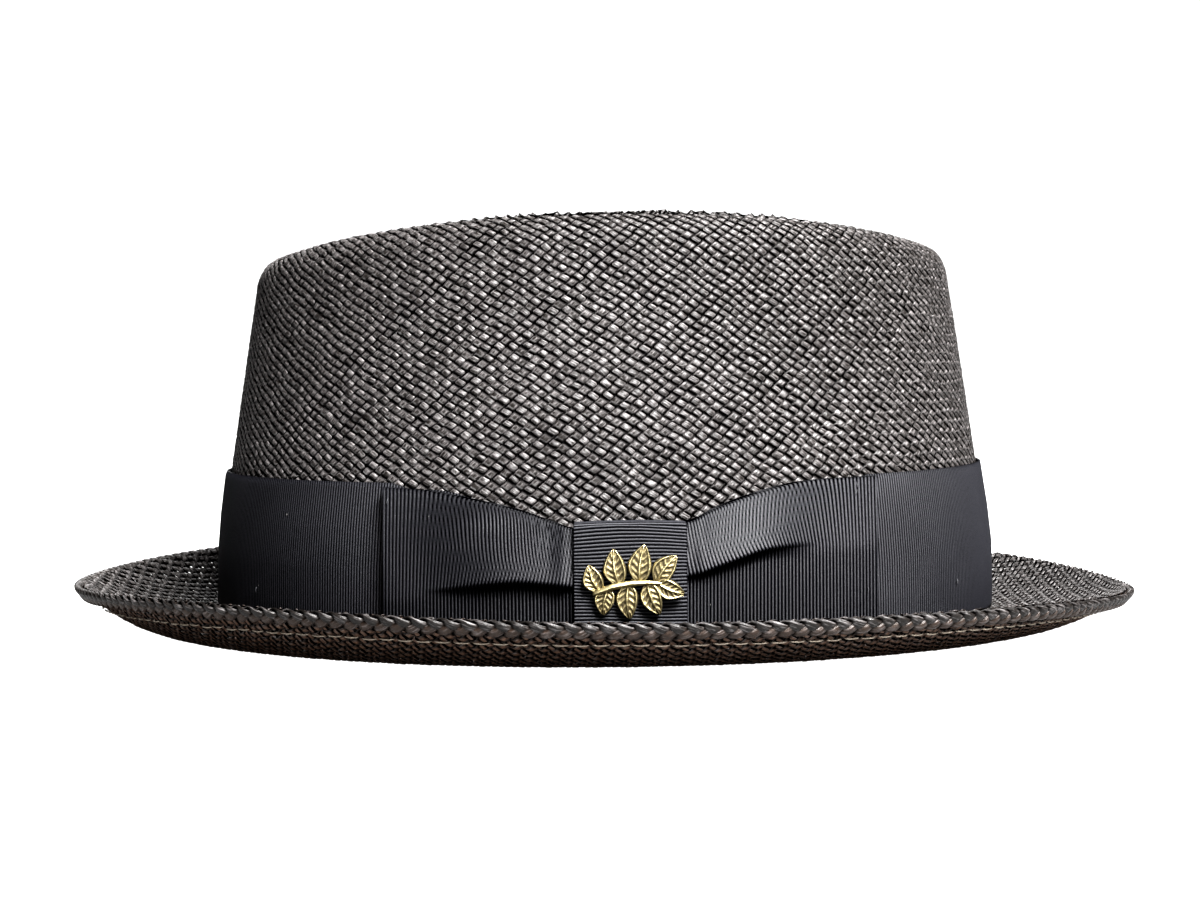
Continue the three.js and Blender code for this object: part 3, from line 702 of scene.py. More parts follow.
class WallLattice:
    """Slanted lattice wound round the crown, one family falling and one rising towards the back.

    Each family's line number is its number of strands times the share of the way round plus its
    slant times the rise, and the rise adds up each step's length over the girth there, so the
    cells keep their shape where the crown narrows. Both numbers are even, so the weave closes.
    """

    def __init__(self, skin, sizes):
        self.skin = skin
        self.fine, self.share = oval_shares(1440, np.pi)
        girth = np.linalg.norm(np.roll(skin.points, -1, 1) - skin.points, axis=2).sum(1)
        steps = np.diff(skin.length) / (0.5 * (girth[1:] + girth[:-1]))
        self.rise = added_up(steps)
        self.counts = (sizes.strands_falling, sizes.strands_rising)
        self.slants = (1 / math.tan(sizes.slant_falling), 1 / math.tan(sizes.slant_rising))

    def unwind(self, lattice):
        """Length up the wall and share round it for lattice positions."""
        falling, rising = lattice.real / self.counts[0], lattice.imag / self.counts[1]
        rise = (falling + rising) / sum(self.slants)
        return np.interp(rise, self.rise, self.skin.length), falling - self.slants[0] * rise, rise

    def __call__(self, lattice):
        """Point and normal on the straw's middle for lattice positions."""
        length, share, _ = self.unwind(lattice)
        point, normal = self.skin.at(length, np.interp(np.mod(share, 1.0), self.share, self.fine))
        return point - normal * WALL_DEPTH, normal

    def wobble(self, lattice):
        """Small drift of the strands from their lines, the same again after each full turn."""
        _, share, rise = self.unwind(lattice)
        first = np.sin(TURN * (23 * share + 31 * rise)) + np.sin(TURN * (41 * share - 17 * rise) + 1)
        second = np.sin(TURN * (29 * share - 37 * rise) + 2) + np.sin(TURN * (13 * share + 43 * rise))
        return 0.09 * first + 0.09j * second

    def within(self, low, high):
        """Mask of lattice positions between two lengths up the wall."""
        ends = np.interp([low, high], self.skin.length, self.rise)

        def test(lattice):
            rise = self.unwind(lattice)[2]
            return (rise >= ends[0]) & (rise <= ends[1])
        return test

    def lines(self, family):
        """Line numbers of a family and how far along them the lattice reaches."""
        return np.arange(self.counts[family]), max(self.counts) + 8


class FlatLattice:
    """Square lattice laid flat over a skin whose rows run in from a rim to the middle.

    The lattice position is the developed distance from the middle along each axis, turned by an
    angle, over the pitch.
    """

    def __init__(self, skin, pitch, angle, inner, depth):
        self.skin, self.depth = skin, depth
        self.turned = np.exp(1j * angle) / pitch
        along_x, along_y = (added_up(skin.steps[:, column]) for column in (0, COLUMNS // 4))
        self.a = inner[0] + along_x[-1] - along_x
        self.b = inner[1] + along_y[-1] - along_y
        self.reach = int(self.a[0] / pitch) + 2

    def __call__(self, lattice):
        """Point and normal: the row is the oval through the position, found by halving."""
        flat = lattice / self.turned
        x, y = flat.real, flat.imag
        rows = np.arange(len(self.a))
        low = np.zeros(x.shape)
        high = np.full(x.shape, len(self.a) - 1.0)
        for _ in range(18):
            mid = (low + high) / 2
            a, b = np.interp(mid, rows, self.a), np.interp(mid, rows, self.b)
            outside = (x / a) ** 2 + (y / b) ** 2 > 1
            high = np.where(outside, mid, high)
            low = np.where(outside, low, mid)
        row = (low + high) / 2
        a, b = np.interp(row, rows, self.a), np.interp(row, rows, self.b)
        turn = np.arctan2(y / b, x / a)
        point, normal = self.skin.on_row(row, turn)
        return point - normal * self.depth, normal

    def wobble(self, lattice):
        """Small drift of the strands from their lines."""
        return 0.06 * (np.sin(0.61 * lattice.real + 0.37 * lattice.imag)
                       + 1j * np.sin(0.43 * lattice.real - 0.71 * lattice.imag + 2))

    def within(self):
        """Mask of lattice positions between the first and the last row."""
        def test(lattice):
            flat = lattice / self.turned
            x, y = flat.real, flat.imag
            outer = (x / self.a[0]) ** 2 + (y / self.b[0]) ** 2 <= 1
            return outer & ((x / self.a[-1]) ** 2 + (y / self.b[-1]) ** 2 >= 1)
        return test

    def lines(self, _):
        """Line numbers, the same for both families, and how far along them the lattice reaches."""
        return np.arange(-self.reach, self.reach + 1), self.reach


def weave(lattice, test, sizes, seed, corners):
    """Both families of strands of a lattice, where a mask lets them be."""
    return [strand_points(family, *lattice.lines(family), lattice, test, sizes, seed, corners)
            for family in (0, 1)]


# Shader groups and materials

def feed(tree, node, **inputs):
    """Feed a node's inputs, named with underscores for spaces, from sockets or with values."""
    for key, value in inputs.items():
        socket = node.inputs[key.replace("_", " ")]
        if isinstance(value, bpy.types.NodeSocket):
            tree.links.new(value, socket)
        else:
            socket.default_value = value
    return node


def add_node(tree, kind, settings=None, **inputs):
    """Shader node of a kind with its settings and inputs."""
    node = tree.nodes.new("ShaderNode" + kind)
    for key, value in (settings or {}).items():
        setattr(node, key, value)
    return feed(tree, node, **inputs)


def math_node(tree, operation, *values, clamp=False):
    """Math node fed with sockets or numbers; returns its output."""
    node = add_node(tree, "Math", {"operation": operation, "use_clamp": clamp})
    for socket, value in zip(node.inputs, values):
        if isinstance(value, bpy.types.NodeSocket):
            tree.links.new(value, socket)
        else:
            socket.default_value = value
    return node.outputs[0]


def slope(tree, value, factor, start=0.0, clamp=False):
    """A value times a factor, plus a start that is a number or another value."""
    return math_node(tree, "MULTIPLY_ADD", value, factor, start, clamp=clamp)


def mixed(tree, factor, first, second):
    """Colour mixed from two colours, each a socket or three numbers."""
    first, second = (value if isinstance(value, bpy.types.NodeSocket) else (*value, 1.0)
                     for value in (first, second))
    node = add_node(tree, "Mix", {"data_type": "RGBA"}, Factor=factor, A=first, B=second)
    return node.outputs["Result"]


def value_of(tree, name):
    """Output of a named point value."""
    return add_node(tree, "Attribute", {"attribute_name": name}).outputs["Fac"]


def own_map(tree):
    """The mesh's own UV map."""
    return add_node(tree, "UVMap", {"uv_map": "UVMap"}).outputs[0]


def add_bump(tree, shader, height, strength, distance):
    """Fine relief on a shader's normal from a height value."""
    bump = add_node(tree, "Bump", Strength=strength, Distance=distance, Height=height)
    feed(tree, shader, Normal=bump.outputs[0])


def new_group(name, inputs, outputs):
    """Empty shader node group with named inputs and outputs."""
    group = bpy.data.node_groups.new(name, "ShaderNodeTree")
    for label, kind, value in inputs:
        socket = group.interface.new_socket(label, in_out="INPUT", socket_type=kind)
        if value is not None:
            socket.default_value = value
    for label in outputs:
        group.interface.new_socket(label, in_out="OUTPUT", socket_type="NodeSocketFloat")
    return group, group.nodes.new("NodeGroupInput"), group.nodes.new("NodeGroupOutput")


def fibre_group():
    """Fine lines along a strand or thread from its own map: one noise drawn out along it and one spotty."""
    group, start, end = new_group(
        "fibre_lines",
        [("Map", "NodeSocketVector", None), ("Along", "NodeSocketFloat", 0.8),
         ("Across", "NodeSocketFloat", 9.0)],
        ["Lines", "Spots"])
    parts = add_node(group, "SeparateXYZ", Vector=start.outputs["Map"])
    drawn = add_node(group, "CombineXYZ",
                     X=math_node(group, "MULTIPLY", parts.outputs[0], start.outputs["Along"]),
                     Y=math_node(group, "MULTIPLY", parts.outputs[1], start.outputs["Across"]))
    lines = add_node(group, "TexNoise", Vector=drawn.outputs[0], Scale=1.0, Detail=3.0, Roughness=0.65)
    spots = add_node(group, "TexNoise", Vector=start.outputs["Map"], Scale=2.3, Detail=2.0)
    feed(group, end, Lines=lines.outputs["Fac"], Spots=spots.outputs["Fac"])
    return group


def dust_group():
    """Sparse pale specks and broad soft patches over the object: far cells cut to dots, and a slow noise."""
    group, start, end = new_group(
        "specks_and_patches",
        [("Speck Scale", "NodeSocketFloat", 260.0), ("Patch Scale", "NodeSocketFloat", 22.0)],
        ["Specks", "Patches"])
    place = add_node(group, "TexCoord").outputs["Object"]
    cells = add_node(group, "TexVoronoi", Vector=place, Scale=start.outputs["Speck Scale"])
    dot = math_node(group, "LESS_THAN", cells.outputs["Distance"], SPECK_SIZE)
    chance = add_node(group, "SeparateColor", Color=cells.outputs["Color"])
    rare = math_node(group, "GREATER_THAN", chance.outputs[0], SPECK_RARITY)
    patches = add_node(group, "TexNoise", Vector=place, Scale=start.outputs["Patch Scale"], Detail=2.0)
    feed(group, end, Specks=math_node(group, "MULTIPLY", dot, rare), Patches=patches.outputs["Fac"])
    return group


def place_group(tree, name, build, **values):
    """A node that holds a shared group, built the first time it is asked for, with its own values."""
    group = bpy.data.node_groups.get(name) or build()
    return add_node(tree, "Group", {"node_tree": group}, **values)


def new_material(name, roughness, metallic=0.0, specular=0.5):
    """Material with a Principled BSDF; returns it, its tree and the shader."""
    material = bpy.data.materials.new(name)
    material.use_nodes = True
    tree = material.node_tree
    shader = feed(tree, tree.nodes["Principled BSDF"], Roughness=roughness, Metallic=metallic,
                  Specular_IOR_Level=specular)
    return material, tree, shader


def straw_material(name, colours, under_share, light_share):
    """Dyed straw: dark to rubbed pale by strand tone and fibre lines, browner on its hidden faces.

    It has painted shade: it darkens fast where a strand dives and down its sides, so thin black gaps part
    the strands.
    """
    material, tree, shader = new_material(name, 0.5)
    fibre = place_group(tree, "fibre_lines", fibre_group, Map=own_map(tree), Along=0.7, Across=5.0)
    dust = place_group(tree, "specks_and_patches", dust_group)
    total = slope(tree, value_of(tree, "tone"), STRAW_TONE, light_share + STRAW_START)
    total = slope(tree, dust.outputs["Patches"], STRAW_PATCHES, total)
    total = slope(tree, fibre.outputs["Spots"], STRAW_SPOTS, total)
    total = slope(tree, fibre.outputs["Lines"], STRAW_LINES, total, clamp=True)
    dyed = mixed(tree, total, colours.straw_dark, colours.straw_light)
    hidden = math_node(tree, "MULTIPLY", value_of(tree, "under"), under_share, clamp=True)
    browned = mixed(tree, hidden, dyed, colours.straw_under)
    # Painted shade: where the lift value is low the straw is darkened towards the crevice colour and loses
    # its gloss
    raised = slope(tree, value_of(tree, "lift"), *STRAW_PAINTED_SHADE_MASK, clamp=True)
    rough = slope(tree, fibre.outputs["Lines"], *STRAW_ROUGH)
    feed(tree, shader, Base_Color=mixed(tree, raised, colours.straw_painted_crevice_shade, browned),
         Roughness=slope(tree, raised, STRAW_ROUGH_RAISED, rough),
         Specular_IOR_Level=math_node(tree, "MULTIPLY", raised, slope(tree, total, *STRAW_GLOSS)))
    add_bump(tree, shader, fibre.outputs["Lines"], *STRAW_BUMP)
    return material


def ribbon_material(name, colours):
    """Ribbed ribbon: painted shade darkens it between its ribs, paler on them, with fine cross threads and a
    few specks.
    """
    material, tree, shader = new_material(name, 0.58)
    place = own_map(tree)
    fibre = place_group(tree, "fibre_lines", fibre_group, Map=place, Along=2.4, Across=2.4)
    dust = place_group(tree, "specks_and_patches", dust_group, Speck_Scale=240.0)
    # Painted shade: the rib value darkens the ribbon between its ribs
    total = slope(tree, value_of(tree, "rib"), *RIBBON_RIB_SHADE)
    total = slope(tree, fibre.outputs["Lines"], RIBBON_LINES, total)
    total = slope(tree, dust.outputs["Patches"], RIBBON_PATCHES, total, clamp=True)
    woven = mixed(tree, total, colours.ribbon_dark_painted_shade, colours.ribbon_light)
    specks = math_node(tree, "MULTIPLY", dust.outputs["Specks"], SPECK_SHARE)
    feed(tree, shader, Base_Color=mixed(tree, specks, woven, SPECK_COLOUR),
         Specular_IOR_Level=slope(tree, total, RIBBON_GLOSS))
    threads = add_node(tree, "TexWave", {"bands_direction": "Y"}, Vector=place, Scale=1.9, Distortion=1.2)
    add_bump(tree, shader, threads.outputs["Fac"], *RIBBON_BUMP)
    return material


def thread_material(name, colour):
    """Twisted sewing thread: slanted plies along its own map, with painted shade in the grooves between
    them.
    """
    material, tree, shader = new_material(name, 0.6, specular=0.4)
    plies = add_node(tree, "TexWave", {"bands_direction": "DIAGONAL"}, Vector=own_map(tree), Scale=1.6,
                     Distortion=0.6)
    # Painted shade in the grooves between the plies, where the ply relief is low
    dark = tuple(PLY_SHADE * c for c in colour)
    feed(tree, shader, Base_Color=mixed(tree, plies.outputs["Fac"], dark, colour))
    add_bump(tree, shader, plies.outputs["Fac"], *PLY_BUMP)
    return material


def brass_material(name, colours):
    """Antique brass: bright where raised and rubbed, tarnished in the hollows, faintly pitted."""
    material, tree, shader = new_material(name, 0.3, metallic=1.0)
    place = add_node(tree, "TexCoord").outputs["Object"]
    pits = add_node(tree, "TexNoise", Vector=place, Scale=1400.0, Detail=3.0).outputs["Fac"]
    stain = slope(tree, pits, *BRASS_STAIN)
    rubbed = math_node(tree, "ADD", value_of(tree, "relief"), stain, clamp=True)
    feed(tree, shader, Base_Color=mixed(tree, rubbed, colours.brass_dark, colours.brass_bright),
         Roughness=slope(tree, rubbed, *BRASS_ROUGH))
    add_bump(tree, shader, pits, *BRASS_BUMP)
    return material


# Operators

class HAT_OT_crown_weave(bpy.types.Operator):
    """Weave the crown's wall, rim and groove from crossing straw strands"""

    bl_idname = "hat.crown_weave"
    bl_label = "Crown weave"

    def execute(self, context):
        sizes, colours = context.scene.hat_sizes, context.scene.hat_colours
        skin = wall_skin()
        lattice = WallLattice(skin, sizes)
        straw = straw_material("dyed_straw", colours, *CROWN_STRAW)
        seen = np.interp(BAND_SEEN_ABOVE, skin.points[:WALL_ROWS, 0, 2], skin.length[:WALL_ROWS])
        inside = skin.crest + GROOVE_START
        for name, low, high, corners in (
            ("crown_weave_hidden", END_GAP, seen, PLAIN),
            ("crown_weave", seen, inside, FLAT_TOP),
            ("crown_weave_groove", inside, skin.length[-1] - END_GAP, PLAIN),
        ):
            falling, rising = weave(lattice, lattice.within(low, high), sizes, CROWN_SEED, corners)
            if corners is FLAT_TOP:
                falling.piece(f"{name}_falling", straw)
                rising.piece(f"{name}_rising", straw)
            else:
                falling.joined(rising).piece(name, straw)
        return {"FINISHED"}


class HAT_OT_tip_weave(bpy.types.Operator):
    """Weave the sunken tip inside the crown's groove"""

    bl_idname = "hat.tip_weave"
    bl_label = "Tip weave"

    def execute(self, context):
        sizes, colours = context.scene.hat_sizes, context.scene.hat_colours
        lattice = FlatLattice(tip_skin(), sizes.tip_pitch, TIP_ANGLE, TIP_CENTRE, TIP_DEPTH)
        straw = straw_material("dyed_straw_tip", colours, *CROWN_STRAW)
        across, along = weave(lattice, lattice.within(), sizes, TIP_SEED, PLAIN)
        across.piece("tip_weave_across", straw)
        along.piece("tip_weave_along", straw)
        return {"FINISHED"}


class HAT_OT_brim_weave(bpy.types.Operator):
    """Weave the curled brim from crossing straw strands"""

    bl_idname = "hat.brim_weave"
    bl_label = "Brim weave"

    def execute(self, context):
        sizes, colours = context.scene.hat_sizes, context.scene.hat_colours
        inner = (CROWN_HALF_LENGTH, CROWN_HALF_LENGTH * CROWN_RATIO)
        lattice = FlatLattice(brim_skin(BRIM_BEYOND), sizes.brim_pitch, BRIM_ANGLE, inner, BRIM_DEPTH)
        straw = straw_material("dyed_straw_brim", colours, *BRIM_STRAW)
        across, along = weave(lattice, lattice.within(), sizes, BRIM_SEED, TWO_SIDED)
        across.piece("brim_weave_across", straw)
        along.piece("brim_weave_along", straw)
        return {"FINISHED"}


def plait_frame(turn):
    """Middle line of the plaited edge, its direction down the brim's outer face and its normal."""
    skin = brim_skin()
    edge = read_grid(skin.points, np.zeros(turn.shape), turn)
    inside = read_grid(skin.points, np.full(turn.shape, PLAIT_INNER_ROW), turn)
    down = unit(unit(inside - edge) - [0, 0, PLAIT_STEEPER])
    around = unit(np.roll(edge, -1, 0) - np.roll(edge, 1, 0))
    out = np.cross(down, around)
    return edge, down, out * np.sign((out * edge * [1, 1, 0]).sum(-1, keepdims=True))


class HAT_OT_edge_plait(bpy.types.Operator):
    """Plait the brim's edge from three strands and sew it down with thread"""

    bl_idname = "hat.edge_plait"
    bl_label = "Edge plait and stitches"

    def execute(self, context):
        sizes, colours = context.scene.hat_sizes, context.scene.hat_colours
        self.plait(sizes, straw_material("plaited_straw", colours, *PLAIT_STRAW))
        self.stitches(sizes, thread_material("sewing_thread", colours.thread))
        return {"FINISHED"}

    def plait(self, sizes, straw):
        """Three oval strands that swing to and fro by a sine and rise and dip by one twice as fast."""
        periods = round(PLAIT_GIRTH / (3 * sizes.plait_pitch))
        count = periods * PLAIT_STEPS
        turn = np.arange(count) * TURN / count
        edge, down, out = plait_frame(turn)
        raised = PLAIT_RISE - PLAIT_RISE_ENDS * np.cos(turn)
        ring = np.arange(PLAIT_SIDES) * TURN / PLAIT_SIDES
        rng = np.random.default_rng(PLAIT_SEED)
        points, faces, uvs = [], [], []
        values = {"tone": [], "under": [], "lift": []}
        for strand in range(3):
            t = turn * periods + TURN * strand / 3
            side = sizes.plait_swing * np.sin(t)
            lift = PLAIT_STAND_OFF - PLAIT_LIFT * np.sin(2 * t)
            centre = edge + down * (side - raised)[:, None] + out * lift[:, None]
            ahead = unit(np.roll(centre, -1, 0) - np.roll(centre, 1, 0))
            across = unit(np.cross(out, ahead))
            up = np.cross(ahead, across)
            shape = (centre[:, None] + PLAIT_HALF_STRAND * across[:, None] * np.cos(ring)[:, None]
                     + PLAIT_THICKNESS * up[:, None] * np.sin(ring)[:, None]).reshape(-1, 3)
            points.append(shape)
            faces.append(outwards(shape, ring_faces(count, PLAIT_SIDES, True)) + strand * len(shape))
            uvs.append(pairs(turn * periods / TURN * 5, np.array(PLAIT_MAP) + 3 * strand))
            bump = np.floor(t / math.pi).astype(int)
            facing = np.sign(np.sin(ring))[None, :] * np.sign((up * out).sum(1))[:, None]
            low = smooth(0.5 + 0.9 * side / sizes.plait_swing)[:, None]
            values["tone"].append(np.repeat(rng.normal(0, 1, bump.max() + 2)[bump], PLAIT_SIDES))
            values["under"].append((low * (0.5 + 0.5 * facing)).ravel())
            # Painted shade mask, stored as the lift value: it falls where a plait strand dips under the next
            values["lift"].append((0.5 - 0.8 * np.sin(2 * t)[:, None] * facing).ravel())
        make_piece("edge_plait_strands", np.concatenate(points), np.concatenate(faces), "plait", straw,
                   ("edge_plait",), np.concatenate(uvs),
                   **{key: np.concatenate(value) for key, value in values.items()})

    def stitches(self, sizes, thread):
        """A row of short thread arcs below the plait, each dipping into the straw at both ends."""
        number = round(PLAIT_GIRTH / sizes.stitch_pitch)
        share = np.linspace(-STITCH_HALF, STITCH_HALF, 7)
        turn = (np.arange(number)[:, None] + share[None, :]) * TURN / number
        skin = brim_skin()
        row = np.full(turn.shape, STITCH_ROW)
        place, normal = read_grid(skin.points, row, turn), read_grid(skin.normals, row, turn)
        drift = np.random.default_rng(STITCH_SEED).normal(0, STITCH_DRIFT, (number, 1, 1))
        down = unit(read_grid(skin.points, row + STITCH_BELOW, turn) - place)
        arch = STITCH_ARCH * np.cos(math.pi * share) ** 0.5 - STITCH_SINK
        centre = place - normal * arch[None, :, None] + down * drift
        points, faces, caps, uv = thread_arcs(centre, normal, sizes.thread_radius)
        make_piece("edge_stitches", points, faces, "plait", thread, (), uv, caps)


def thread_arcs(centre, normal, radius, sides=5):
    """Short round threads along rows of points, tapered to almost nothing at both ends."""
    number, steps = centre.shape[:2]
    ahead = unit(np.gradient(centre, axis=1))
    across = unit(np.cross(normal, ahead))
    up = np.cross(ahead, across)
    ring = np.arange(sides) * TURN / sides
    ends = radius * np.array([0.15] + [1] * (steps - 2) + [0.15])[None, :, None, None]
    shape = centre[:, :, None] + ends * (
        across[:, :, None] * np.cos(ring)[:, None] + up[:, :, None] * np.sin(ring)[:, None])
    base = np.arange(number)[:, None, None] * steps * sides
    faces = (ring_faces(steps, sides, False)[None] + base).reshape(-1, 4)
    closed = np.stack([np.arange(sides)[::-1], (steps - 1) * sides + np.arange(sides)])
    caps = (closed[None] + base).reshape(-1, sides)
    uv = np.tile(pairs(np.linspace(-3, 3, steps), ring / TURN * 2), (number, 1))
    return shape.reshape(-1, 3), faces, caps, uv


def rib_wave(length, pitch=1.0):
    """Rounded ribs along a length: the cosine raised to a soft power, 0 between ribs and 1 on them."""
    return (0.5 + 0.5 * np.cos(TURN * length / pitch)) ** 0.8


class HAT_OT_ribbon_band(bpy.types.Operator):
    """Wrap the ribbed ribbon band round the crown"""

    bl_idname = "hat.ribbon_band"
    bl_label = "Ribbon band"

    def execute(self, context):
        sizes, colours = context.scene.hat_sizes, context.scene.hat_colours
        columns = round(BAND_GIRTH / sizes.rib_pitch) * RIB_STEPS
        fine, share_of = oval_shares(20000)
        turn = np.interp(np.arange(columns) / columns, share_of, fine)
        wave = rib_wave(np.arange(columns) / RIB_STEPS)
        rise = band_top(turn) - BAND_BOTTOM
        rows, value = [], []
        for share in BAND_SHARES:
            edge = share in (0, 1)
            ripple = (SLOW_RIPPLE * np.sin(3 * turn + 5 * share)
                      + FAST_RIPPLE * np.sin(11 * turn - 7 * share))
            out = BAND_OUT + sizes.rib_height * (wave - 0.5) * (0.6 if edge else 1)
            out = out - SELVEDGE_DIP if edge else out + ripple
            rows.append(wall_point(turn, BAND_BOTTOM + rise * share, out))
            # The rib value paints shade between the ribs
            value.append(wave * (0.75 if edge else 1.0))
        for share in BAND_BACK_SHARES:
            rows.append(wall_point(turn, BAND_BOTTOM + rise * share, BAND_IN))
            value.append(wave * BACK_RIB)
        points = np.concatenate(rows)
        threads = BAND_THREADS * np.array([*BAND_SHARES, *BAND_BACK_SHARES])
        make_piece("ribbon_band_ribbed", points, outwards(points, ring_faces(len(rows), columns, True)),
                   "ribbon", ribbon_material("ribbed_ribbon", colours), ("ribbon_band",),
                   pairs(threads, np.arange(columns) / RIB_STEPS)[:, ::-1], rib=np.stack(value))
        return {"FINISHED"}


def curve(table, reach):
    """Soft line through a short table of distances and heights in millimetres, in metres."""
    x, z = np.array(table).T * 0.001
    steps = reach + np.array([-0.0022, -0.0011, 0.0, 0.0011, 0.0022])[:, None]
    return np.interp(steps, x, z).mean(0)


def wrap_x(share):
    """Place across the wrap, from -1 at its front end to 1 at its rear end, which is trimmed a little."""
    return BOW_X + WRAP_HALF_WIDTH * share - 0.5 * WRAP_TRIM * (1 + share)


class HAT_OT_bow(bpy.types.Operator):
    """Fold the flat bow's two ribbon loops with their pinch pleats, and wrap their centre"""

    bl_idname = "hat.bow"
    bl_label = "Bow"

    def execute(self, context):
        sizes, colours = context.scene.hat_sizes, context.scene.hat_colours
        ribbon = ribbon_material("ribbed_ribbon_bow", colours)
        for name, shape in LOOP_SHAPES.items():
            self.loop(name, shape, sizes, ribbon)
        self.wrap(sizes, ribbon)
        self.tacks(sizes, colours)
        return {"FINISHED"}

    def tacks(self, sizes, colours):
        """Small upright stitches that hold the loops' ends, and two on the band."""
        x, z, out, lean = np.array(TACKS).T[:, :, None] * 0.001
        share = np.linspace(-1, 1, 7)[None, :]
        height = TACK_HALF * share
        arch = TACK_ARCH * (1 - share ** 2)
        level = z + height
        centre = side_point(x + 1000 * lean * height, level, out + arch)
        normal = side_point(x + 0 * height, level, out + 0.001) - side_point(x + 0 * height, level, out)
        points, faces, caps, uv = thread_arcs(centre, normal, 0.7 * sizes.thread_radius)
        make_piece("bow_tacks", points, faces, "ribbon", thread_material("tack_thread", TACK_GREY), (),
                   uv, caps)

    def loop(self, name, shape, sizes, ribbon):
        """One loop: ribbon out along the back, round a fold and in along the front.

        Above the crease the front layer swells out and rolls over it, falling off with height;
        below, it lies back. Ribs above the crease lean towards the wrap.
        """
        end = LOOP_REACH - LOOP_FOLD
        front = np.arange(end, LOOP_INNER, -sizes.rib_pitch / RIB_STEPS)
        back = np.linspace(LOOP_INNER, end, 14)
        fold = np.radians(np.linspace(-90, 90, 7))[1:-1]
        reach = np.concatenate([back, end + LOOP_FOLD * np.cos(fold), front])
        layer = np.concatenate([np.zeros(len(back)), 0.5 + 0.5 * np.sin(fold), np.ones(len(front))])
        pinch = pinch_at(reach)[:, None]
        reach, layer = reach[:, None], layer[:, None]
        on_front = layer == 1
        top, crease = (curve(shape[key], reach[:, 0])[:, None] for key in ("top", "crease"))
        bottom = LOOP_BOTTOM + PINCH_BOTTOM_RISE * pinch
        z = np.concatenate([bottom + (crease - bottom) * LOOP_LOW_SHARES,
                            crease + (top - crease) * np.array(LOOP_HIGH_SHARES)], 1)
        above, below = np.clip(z - crease, 0, None), np.clip(crease - z, 0, None)

        start, stop = (0.001 * v for v in shape["fade"])
        strength = (1 - smooth((reach - start) / (stop - start))) * on_front
        held = smooth((WRAP_HALF_WIDTH + HELD_RUN - reach) / HELD_RUN)
        swell = SWELL * (1 - SWELL_HELD * held) * strength
        lift = (swell * smooth(above / LIP) * np.exp(-above / SWELL_FALL)
                - CREASE_DIP * strength * np.exp(-below / CREASE_DIP_FALL)
                + LOWER_LIFT * strength * np.exp(-below / LOWER_LIFT_FALL))
        run = np.clip((reach - WRAP_HALF_WIDTH) / BILLOW_RUN, 0, 1)
        lift = lift + BILLOW * layer * np.sin(run * math.pi)
        settle = smooth((WRAP_HALF_WIDTH + SETTLE_RUN - reach) / SETTLE_RUN)
        base = LOOP_BACK_FREE + (LOOP_BACK_HELD - LOOP_BACK_FREE) * settle
        hollow = LOOP_HOLLOW + (PINCH_HOLLOW - LOOP_HOLLOW) * pinch

        lean = shape["lean"] * np.exp(-((reach - LEAN_CENTRE) / LEAN_WIDTH) ** 2) * on_front
        ribbon_length = reach + lean * above
        ribbon_length = ribbon_length + LEAN_MORE * lean * np.clip(above - LEAN_MORE_ABOVE, 0, None)
        wave = rib_wave(ribbon_length, sizes.rib_pitch)
        edges = np.ones(z.shape[1])
        edges[[0, -1]] = LOOP_EDGE_RIB
        rib = sizes.rib_height * (wave - 0.5) * edges * on_front
        x = BOW_X + shape["side"] * reach + 0 * z
        tuck = shape["side"] * RIBBON * (1 - np.abs(2 * layer - 1))
        outer = side_point(x, z, base + layer * (2 * RIBBON + hollow) + lift + rib)
        inner = side_point(x - tuck, z, base + RIBBON + layer * hollow + lift)

        def both(front_skin, back_skin):
            """Rings that run over the ribbon's outer skin and back under its inner skin."""
            return np.concatenate([front_skin, back_skin[:, ::-1]], 1)

        points = both(outer, inner).reshape(-1, 3)
        # Painted shade: darkens each loop along its crease and over its front layer below it, carried in the
        # rib value
        shade = np.exp(-above / CREASE_SHADE[0]) * np.exp(-below / CREASE_SHADE[1]) * strength
        shade = shade + LOWER_SHADE * smooth(below / 0.002) * layer
        uv = np.stack([both(ribbon_length, ribbon_length) / sizes.rib_pitch,
                       both(z, z) * LOOP_MAP_HEIGHT], -1)
        make_piece(f"bow_{name}_loop", points, outwards(points, capped(len(reach), 2 * z.shape[1])),
                   "ribbon", ribbon, (f"bow_loop_{name}",), uv.reshape(-1, 2),
                   rib=both(wave * edges - 0.8 * shade, 0.4 * wave))

    def wrap(self, sizes, ribbon):
        """Centre wrap: a rounded tube of ribbon, its ribs running level along the hat."""
        def outline(shrink):
            """The tube's section as a closed path of four rounded corners, and the length along it."""
            back, face = WRAP_BACK + shrink, WRAP_FRONT - shrink
            low, high = WRAP_BOTTOM + shrink, WRAP_TOP - shrink
            r = WRAP_CORNER - shrink
            corners = ((back + r, low + r, 180), (face - r, low + r, 270), (face - r, high - r, 0),
                       (back + r, high - r, 90))
            path = []
            for out, z, start in corners:
                angle = np.radians(start + np.linspace(0, 90, 13))
                path.append(np.stack([out + r * np.cos(angle), z + r * np.sin(angle)], 1))
            path = np.concatenate([*path, path[0][:1]])
            return path, added_up(np.linalg.norm(np.diff(path, axis=0), axis=1))

        def spread(path, run):
            """Points at even steps along a closed path."""
            at = np.arange(columns) / columns * run[-1]
            return np.stack([np.interp(at, run, path[:, k]) for k in (0, 1)], 1)

